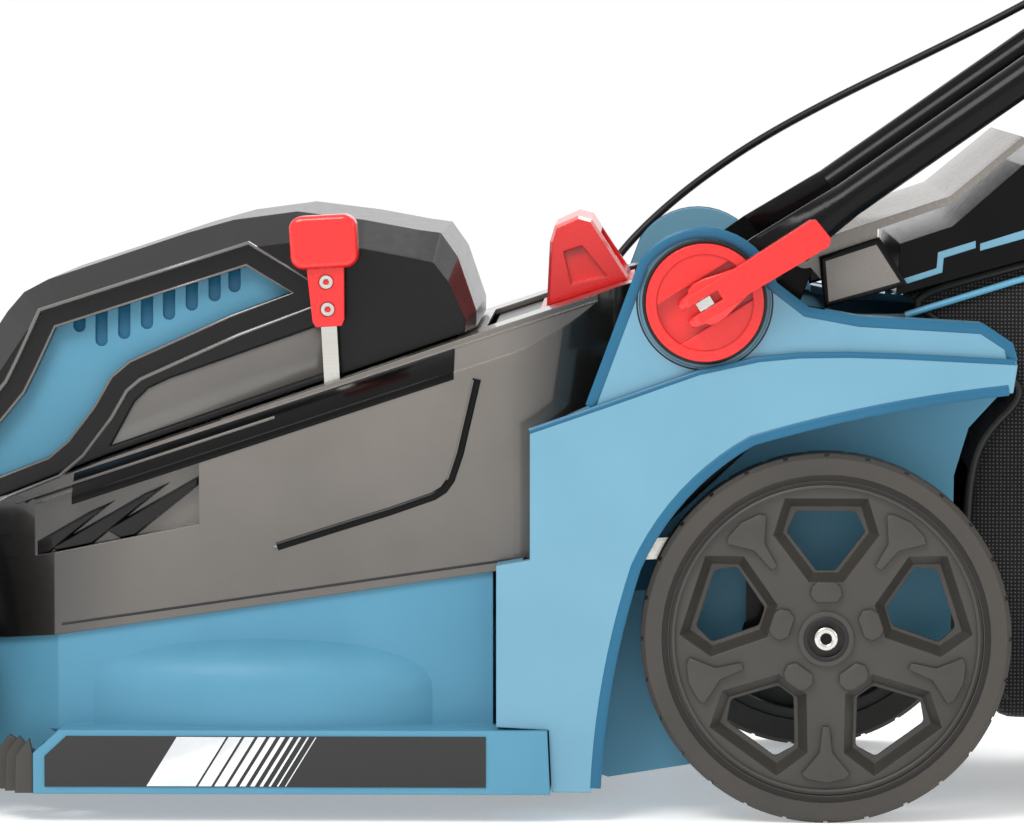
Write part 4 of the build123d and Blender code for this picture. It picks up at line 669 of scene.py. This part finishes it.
@dataclass
class CamTrim:
    """Jaws of the handle levers, rings round their discs, one of them a painted gap shadow, and rims of the
    flap's cheeks. In millimetres.
    """

    bench: Bench
    pivot: tuple[float, float] = (-83.5, 357.7)
    rise: float = math.radians(31.7)
    lever_face: float = 277.6
    jaw_depth: float = 13.0
    ear_face: float = 250.0
    cheek_face: float = 206.0
    jaw: Points = field(default_factory=lambda: [
        (-16, 4.2), (-16, 8.5), (-13, 10.6), (-6.5, 11.8), (-5, 14), (0, 15.6), (8, 15), (20, 12), (28, 10.4),
        (28, 9), (2, 4.2)])
    cheek: Points = field(default_factory=lambda: [(-2, 385.5), (36, 398), (54, 369), (1, 354)])

    def turned(self, along: float, across: float) -> tuple[float, float]:
        """Turns a place on the lever into x and z."""
        return (self.pivot[0] + along * math.cos(self.rise) - across * math.sin(self.rise),
                self.pivot[1] + along * math.sin(self.rise) + across * math.cos(self.rise))

    def build(self) -> None:
        """Makes the jaws, the rings and the rims on both sides."""
        for hand, side in ((-1, "left"), (1, "right")):
            for way, place in ((1, "upper"), (-1, "lower")):
                outline = [self.turned(along, way * across) for along, across in self.jaw]
                jaw = self.bench.plate("jaw", outline, hand * self.lever_face, self.jaw_depth, bevel=1.6)
                self.bench.settle(jaw, f"lever_jaw_{place}_{side}", RED_ABS, "cam_lever_" + side, "red")
            # the gap ring is a dark bead that paints the shadow in the gap round each disc; the seam ring is
            # the disc's seam line
            for name, radius, bead in (("gap", 41.4, 1.5), ("seam", 46.4, 0.6)):
                spots = circle(self.pivot, radius, 72)
                line = [self.bench.at(x, hand * self.ear_face, z) for x, z in spots]
                ring = self.bench.tube(name, line, bead, closed=True, flat=0.4)
                self.bench.settle(ring, f"disc_{name}_{side}", BLACK_NYLON, "deck", "black_matte")
            line = [self.bench.at(x, hand * self.cheek_face, z) for x, z in self.cheek]
            rim = self.bench.tube("rim", line, 3.2, closed=True, flat=0.6)
            self.bench.settle(rim, "flap_rim_" + side, BLACK_ABS, "rear_flap", "black_gloss")


@dataclass
class SkirtSweep:
    """The bright diagonal sweep on each skirt label. Lengths are in millimetres."""

    bench: Bench
    face: float = 263.2
    start: float = -466.0
    lean: float = 21.0
    widths: tuple[float, ...] = (34.0, 9.0, 7.0, 5.5, 4.2, 3.2, 2.4, 1.7, 1.2, 0.8)
    gap: float = 1.6

    def build(self) -> None:
        """Makes slanting bright bands on both labels."""
        for hand, side in ((-1, "left"), (1, "right")):
            x = self.start
            for number, width in enumerate(self.widths):
                outline = [(x, 25.5), (x + width, 25.5), (x + width + self.lean, 59.5), (x + self.lean, 59.5)]
                band = self.bench.plate("sweep", outline, hand * self.face, 0.45, bevel=0.08)
                self.bench.settle(band, f"label_sweep_{number}_{side}", SILVER_FILM, "deck", "label")
                x += width + self.gap + number * 0.35


@dataclass
class CoverTrim:
    """The ledge, groove, raised facet and parting line of the lower cover. Lengths are in millimetres."""

    bench: Bench
    face: float = 225.0
    ledge_rise: float = 0.3295
    ledge_start: float = -520.0
    ledge_step: float = 33.0
    groove: tuple[float, ...] = (-560, -470, -380)
    facet: Points = field(default_factory=lambda: [
        (-252, 252), (-258, 234), (-263, 227), (-270, 222.5), (-300, 212), (-340, 199.5), (-378, 187.5)])
    seam: Points = field(default_factory=lambda: [(-527, 133.5), (-420, 149.0), (-310, 165.2), (-206, 180.4)])

    def shoulder(self, x: float) -> float:
        """Height of the cover's shoulder at x."""
        return 313.0 + (x + 241.3) * self.ledge_rise

    def slanted(self, name: str, rows: list[list[tuple[float, float, float]]],
                wall: float) -> bpy.types.Object:
        """Makes a strip between rows of points and gives it a wall."""
        points = [self.bench.at(*spot) for row in rows for spot in row]
        count = len(rows[0])
        faces = [(r * count + i, r * count + i + 1, (r + 1) * count + i + 1, (r + 1) * count + i)
                 for r in range(len(rows) - 1) for i in range(count - 1)]
        strip = self.bench.mesh(name, points, faces)
        self.bench.finish_mesh(strip, wall=wall, bevel=0.3)
        return strip

    def build(self) -> None:
        """Makes the trims on both sides."""
        for hand, side in ((-1, "left"), (1, "right")):
            stations = [self.ledge_start + self.ledge_step * i for i in range(9)]
            rows = [[(x, hand * (self.face + 0.3), self.shoulder(x) - 5.0) for x in stations],
                    [(x, hand * (self.face - 0.2), self.shoulder(x) + 0.5) for x in stations],
                    [(x, hand * (self.face - 11), self.shoulder(x) + 8.6) for x in stations],
                    [(x, hand * (self.face - 20), self.shoulder(x) + 15.2) for x in stations]]
            ledge = self.slanted("ledge", rows, 0.9)
            self.bench.settle(ledge, f"cover_ledge_{side}", BLACK_ABS, "deck", "black_gloss")
            line = [self.bench.at(x, hand * (self.face - 10.4), self.shoulder(x) + 8.8) for x in self.groove]
            groove = self.bench.tube("groove", line, 1.3)
            self.bench.settle(groove, f"cover_groove_{side}", GREY_ABS, "deck", "black_gloss")
            facet = [(-240, self.shoulder(-240) - 10)] + self.facet
            for number, (width, lift) in enumerate(((3.0, 0.4), (1.0, 1.2))):
                out = self.face - 0.5 + lift
                line = [self.bench.at(x - 2.2 * number, hand * (out - 0.05 * i), z - 0.8 * number)
                        for i, (x, z) in enumerate(facet)]
                bead = self.bench.tube("facet", line, width, flat=0.6)
                finish = (BLACK_ABS, FACET_ABS)[number]
                self.bench.settle(bead, f"cover_facet_{number}_{side}", finish, "deck", "black_gloss")
            line = [self.bench.at(x, hand * (self.face + 0.1), z) for x, z in self.seam]
            seam = self.bench.tube("seam", line, 0.9, flat=0.5)
            self.bench.settle(seam, f"cover_seam_{side}", BLACK_NYLON, "deck", "black_gloss")


@dataclass
class HoodTrim:
    """Lighter facet, bevels round the intake and backing of its slots. Lengths are in millimetres."""

    bench: Bench
    side_y: float = 165.0
    panel_y: float = 147.5
    window: Points = field(default_factory=lambda: [
        (-575, 231), (-542, 244), (-528, 256), (-510, 280), (-498, 301), (-485, 312), (-414, 344),
        (-371, 360), (-403, 379), (-537, 336), (-551, 306), (-559, 290), (-577, 268), (-606, 236),
        (-610, 222)])
    facet: Points = field(default_factory=lambda: [
        (-498, 253), (-481.5, 283.5), (-471.7, 293.2), (-456.8, 300.2), (-350, 338), (-345, 335.5),
        (-344, 306)])

    def grown(self, points: Points, amount: float) -> Points:
        """Moves every corner of a clockwise or anticlockwise outline outwards."""
        area = sum(x0 * z1 - x1 * z0 for (x0, z0), (x1, z1) in zip(points, points[1:] + points[:1]))
        turn = math.copysign(1.0, area)
        moved = []
        for i, (x, z) in enumerate(points):
            before, after = points[i - 1], points[(i + 1) % len(points)]
            first = Vector((x - before[0], z - before[1])).normalized()
            second = Vector((after[0] - x, after[1] - z)).normalized()
            out = (Vector((first.y, -first.x)) + Vector((second.y, -second.x))).normalized() * turn
            share = max(0.45, out.dot(Vector((first.y, -first.x)) * turn))
            moved.append((x + out.x * amount / share, z + out.y * amount / share))
        return moved

    def build(self) -> None:
        """Makes the trims on both sides."""
        for hand, side in ((-1, "left"), (1, "right")):
            facet = self.bench.plate("facet", self.facet, hand * (self.side_y - 2.3), 0.9, bevel=0.4)
            self.bench.settle(facet, f"hood_facet_{side}", FACET_ABS, "deck", "black_gloss")
            # the backing behind the slots is blue painted darker as the shade inside them
            inner = self.grown(self.window, -1.0)
            back = self.bench.plate("backing", inner, hand * self.panel_y, 0.7, bevel=0.1)
            self.bench.settle(back, f"slot_backing_{side}", SHADED_BLUE_ABS, "deck", "deck_blue")
            for name, grow, depth, radius in (("outer", 14.6, 0.2, 1.5), ("inner", 0.4, 4.2, 1.1)):
                outline = self.grown(self.window, grow)
                line = [self.bench.at(x, hand * (self.side_y - depth), z) for x, z in outline]
                bevel = self.bench.tube("bevel", line, radius, closed=True)
                self.bench.settle(bevel, f"intake_{name}_bevel_{side}", FACET_ABS, "deck", "black_gloss")


FULL_WHEEL = 127.0      # radius, in millimetres, of the wheel that the raised forms are drawn for


@dataclass
class WheelFace:
    """Rings, raised forms and the nut's face on the outside of one wheel. Lengths are in millimetres."""

    bench: Bench
    name: str
    centre: tuple[float, float, float]
    radius: float
    axle: str
    windows: int = 5
    wedge: Points = field(default_factory=lambda: [
        (-17, 93), (-13, 96.5), (0, 99), (13, 96.5), (17, 93), (4.5, 78), (2.6, 60), (-2.6, 60), (-4.5, 78)])
    pad: Points = field(default_factory=lambda: [
        (-7, 25), (7, 25), (11, 30), (10, 36), (6, 39.5), (-6, 39.5), (-10, 36), (-11, 30)])

    def ring(self, radius: float, y: float, bead: float) -> bpy.types.Object:
        """Makes one raised ring."""
        line = [self.bench.at(x, y, z) for x, z in circle((self.centre[0], self.centre[2]), radius, 64)]
        return self.bench.tube("ring", line, bead, closed=True, flat=0.6)

    def build(self) -> None:
        """Makes the rings, the nut's bright face and, round the openings, the raised wedges and pads."""
        x, y, z = self.centre
        hand, scale = math.copysign(1.0, y), self.radius / FULL_WHEEL
        body = "wheel_" + self.name
        for name, radius, depth, bead, finish, rides, slot in (
                ("rim_ring", self.radius * 0.825, 0.0, 1.2, WHEEL_PP, body, "wheel_brown"),
                # the groove ring is a dark bead that paints the groove's shade
                ("rim_groove_shade", self.radius * 0.872, 0.6, 2.4, GROOVE_SHADE_RUBBER, body, "wheel_brown"),
                ("hub_ring", 14.0, 0.0, 1.6, BLACK_NYLON, body, "wheel_brown"),
                ("axle_nut_face", 6.0, 1.2, 2.1, ZINC, self.axle, "plated_steel")):
            ring = self.ring(radius, y - hand * depth, bead)
            self.bench.settle(ring, f"{name}_{self.name}", finish, rides, slot)
        for step in range(self.windows):
            for name, corners, lead in (("wedge", self.wedge, 36), ("pad", self.pad, 0)):
                turn = math.radians(90 + lead + 72 * step)
                outline = []
                for across, out in corners:
                    px, pz = -across * scale, out * scale
                    outline.append((x + pz * math.cos(turn) - px * math.sin(turn),
                                    z + pz * math.sin(turn) + px * math.cos(turn)))
                raised = self.bench.plate(name, outline, y + hand * 1.3, 2.6, bevel=1.0)
                self.bench.settle(raised, f"rim_{name}_{step}_{self.name}", WHEEL_PP, body, "wheel_brown")


@dataclass
class CableClips:
    """Saddle clips that hold the cable to the handle tubes. Lengths are in millimetres."""

    bench: Bench
    pivot: tuple[float, float] = (-83.5, 357.7)
    rise: float = math.radians(35)
    tube: float = 12.5
    cable: float = 3.2
    width: float = 11.0
    wall: float = 1.8

    def place(self, s: float, y: float, lift: float) -> Vector:
        """A point on the handle, a distance along it and lifted off its middle line."""
        x = self.pivot[0] + s * math.cos(self.rise) - lift * math.sin(self.rise)
        z = self.pivot[1] + s * math.sin(self.rise) + lift * math.cos(self.rise)
        return self.bench.at(x, y, z)

    def band(self, middle: Vector, radius: float, width: float) -> bpy.types.Object:
        """Makes one ring round a tube: a hoop that is pulled along the handle and given a wall."""
        bpy.ops.object.select_all(action="DESELECT")
        bpy.ops.mesh.primitive_circle_add(vertices=28, radius=(radius + self.wall / 2) * MM, location=middle,
                                          rotation=(0, math.pi / 2 - self.rise, 0))
        ring = bpy.context.active_object
        along = Vector((math.cos(self.rise), 0, math.sin(self.rise))) * width * MM
        bpy.ops.object.mode_set(mode="EDIT")
        bpy.ops.mesh.select_all(action="SELECT")
        bpy.ops.mesh.extrude_edges_move(TRANSFORM_OT_translate={"value": along})
        bpy.ops.object.mode_set(mode="OBJECT")
        bpy.ops.object.transform_apply(location=True, rotation=True, scale=True)
        self.bench.finish_mesh(ring, wall=self.wall, bevel=0.4)
        return ring

    def clip(self, name: str, s: float, tube_y: float, cable_y: float, lift: float, body: str) -> None:
        """Makes a clip from a ring round the tube, joined to a ring round the cable.

        Args:
            name: the clip's name.
            s: how far up the handle it is.
            tube_y: the middle of the handle tube.
            cable_y: the middle of the cable.
            lift: how far the cable is above the tube's middle.
            body: the body that it rides on.
        """
        rings = [self.band(self.place(s, tube_y, 0), self.tube, self.width),
                 self.band(self.place(s, cable_y, lift), self.cable, self.width)]
        bpy.ops.object.select_all(action="DESELECT")
        for ring in rings:
            ring.select_set(True)
        bpy.context.view_layer.objects.active = rings[0]
        bpy.ops.object.join()
        self.bench.settle(rings[0], name, BLACK_NYLON, body, "black_matte")

    def build(self) -> None:
        """Makes the clips on both handle tubes."""
        self.clip("cable_clip_lower", 462, 221, 205, 14, "lower_handle")
        self.clip("cable_clip_middle", 650, 194, 176.5, -4, "upper_handle")
        self.clip("cable_clip_upper", 860, 194, 178, -4, "upper_handle")


@dataclass
class FreeCable:
    """Cable that hangs free from the cover's gland to the first clip. Lengths are in millimetres."""

    bench: Bench
    clips: CableClips
    radius: float = 3.0
    length: float = 562.0
    exit: tuple[float, float, float] = (-170.55, 230.63, 332.63)
    route: list[tuple[float, float, float]] = field(default_factory=lambda: [
        (-158, 241, 352), (-141, 252, 377), (-114, 256.5, 404), (-81, 254.5, 431), (-36, 247, 461.5),
        (22, 238, 493), (84, 229, 523), (150, 219, 556), (216, 209, 593)])
    far: tuple[float, float] = (418.0, 462.0)
    far_y: float = 205.0
    far_lift: float = 14.0

    def build(self) -> None:
        """Makes the cable as a smooth tube that bends between the cover and the lower handle."""
        points = [self.bench.at(*self.exit)] + [self.bench.at(*spot) for spot in self.route]
        points += [self.clips.place(s, self.far_y, self.far_lift) for s in self.far]
        curve = bpy.data.curves.new("cable", "CURVE")
        curve.dimensions, curve.resolution_u = "3D", 10
        spline = curve.splines.new("NURBS")
        spline.points.add(len(points) - 1)
        for point, place in zip(spline.points, points):
            point.co = (*place, 1.0)
        spline.order_u, spline.use_endpoint_u = 3, True
        cable = bpy.data.objects.new("cable", curve)
        bpy.context.scene.collection.objects.link(cable)
        line = bpy.data.meshes.new_from_object(cable)
        bpy.data.meshes.remove(line)
        curve.bevel_depth, curve.bevel_resolution, curve.use_fill_caps = self.radius * MM, 4, True
        pick(cable)
        bpy.ops.object.convert(target="MESH")
        bpy.ops.object.shade_smooth_by_angle(angle=SMOOTH_BELOW)
        cable.name = cable.data.name = "control_cable"
        dress(cable, CABLE_PVC)
        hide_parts("cable_free")
        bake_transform(cable)


PALE_FLOOR = Finish("pale_floor", "F1F1F0", "EEEEED", Surface.GRAINED, 0.6, grain=6.0, relief=0.02, edge=0.1)
# soft lights: name, place in metres, size in metres and power in watts
LAMPS = (("key", (-1.2, -2.2, 2.6), 1.3, 62.0), ("fill", (2.4, -1.8, 1.2), 1.2, 8.0),
         ("rim", (0.6, 2.4, 2.4), 1.6, 36.0))


@dataclass
class Studio:
    """Pale floor, soft light and the camera. Lengths are in metres."""

    axle_x: float
    camera: tuple[float, float, float] = (-0.121, -4.485, 0.544)
    target: tuple[float, float, float] = (-0.2152, -0.255, 0.2812)
    lens: float = 217.9
    floor_glow: float = 0.35

    def build(self) -> None:
        """Makes the floor, the lights, the sky and the camera."""
        bpy.ops.object.select_all(action="DESELECT")
        bpy.ops.mesh.primitive_plane_add(size=14, location=(0, 0, 0))
        floor = bpy.context.active_object
        floor.name = "floor"
        dress(floor, PALE_FLOOR)
        shader = floor.data.materials[0].node_tree.nodes["Principled BSDF"]
        shader.inputs["Emission Color"].default_value = linear("FFFFFF")
        shader.inputs["Emission Strength"].default_value = self.floor_glow
        for name, place, size, power in LAMPS:
            lamp = bpy.data.lights.new(name, "AREA")
            lamp.size, lamp.energy = size, power
            holder = bpy.data.objects.new(name, lamp)
            holder.location = place
            aim = Vector((self.axle_x - 0.25, 0, 0.3)) - Vector(place)
            holder.rotation_euler = aim.to_track_quat("-Z", "Y").to_euler()
            bpy.context.scene.collection.objects.link(holder)
        world = bpy.data.worlds.new("studio")
        world.use_nodes = True
        world.node_tree.nodes["Background"].inputs[0].default_value = linear("FFFFFF")
        world.node_tree.nodes["Background"].inputs[1].default_value = 1.0
        bpy.context.scene.world = world
        bpy.context.scene.view_settings.view_transform = "Standard"
        view = bpy.data.objects.new("camera", bpy.data.cameras.new("camera"))
        view.data.lens = self.lens
        view.location = Vector(self.camera) + Vector((self.axle_x, 0, 0))
        aim = Vector(self.target) + Vector((self.axle_x, 0, 0)) - view.location
        view.rotation_euler = aim.to_track_quat("-Z", "Y").to_euler()
        bpy.context.scene.collection.objects.link(view)
        bpy.context.scene.camera = view
        log.info("studio ready")


def main() -> None:
    """Builds everything around the assembly."""
    logging.basicConfig(level=logging.INFO, format="%(message)s")
    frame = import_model()
    dress_assembly(frame["nodes"])
    low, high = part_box("tyre_rear_left")
    axle_x = (low.x + high.x) / 2
    Studio(axle_x=axle_x).build()
    bench = Bench(axle_x)
    clips = CableClips(bench)
    FreeCable(bench, clips).build()
    for part in (GrassBag(bench), SidePlateTrim(bench), CamTrim(bench), SkirtSweep(bench), CoverTrim(bench),
                 HoodTrim(bench), clips):
        part.build()
    for name in ("rear_left", "rear_right", "front_left", "front_right"):
        low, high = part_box("tyre_" + name)
        face = low.y if low.y < 0 else high.y
        radius = (high.z - low.z) / 2 / MM
        centre = (((low.x + high.x) / 2 - axle_x) / MM, face / MM, radius)
        WheelFace(bench, name, centre, radius, name.split("_")[0] + "_crank").build()


if __name__ == "__main__":
    main()
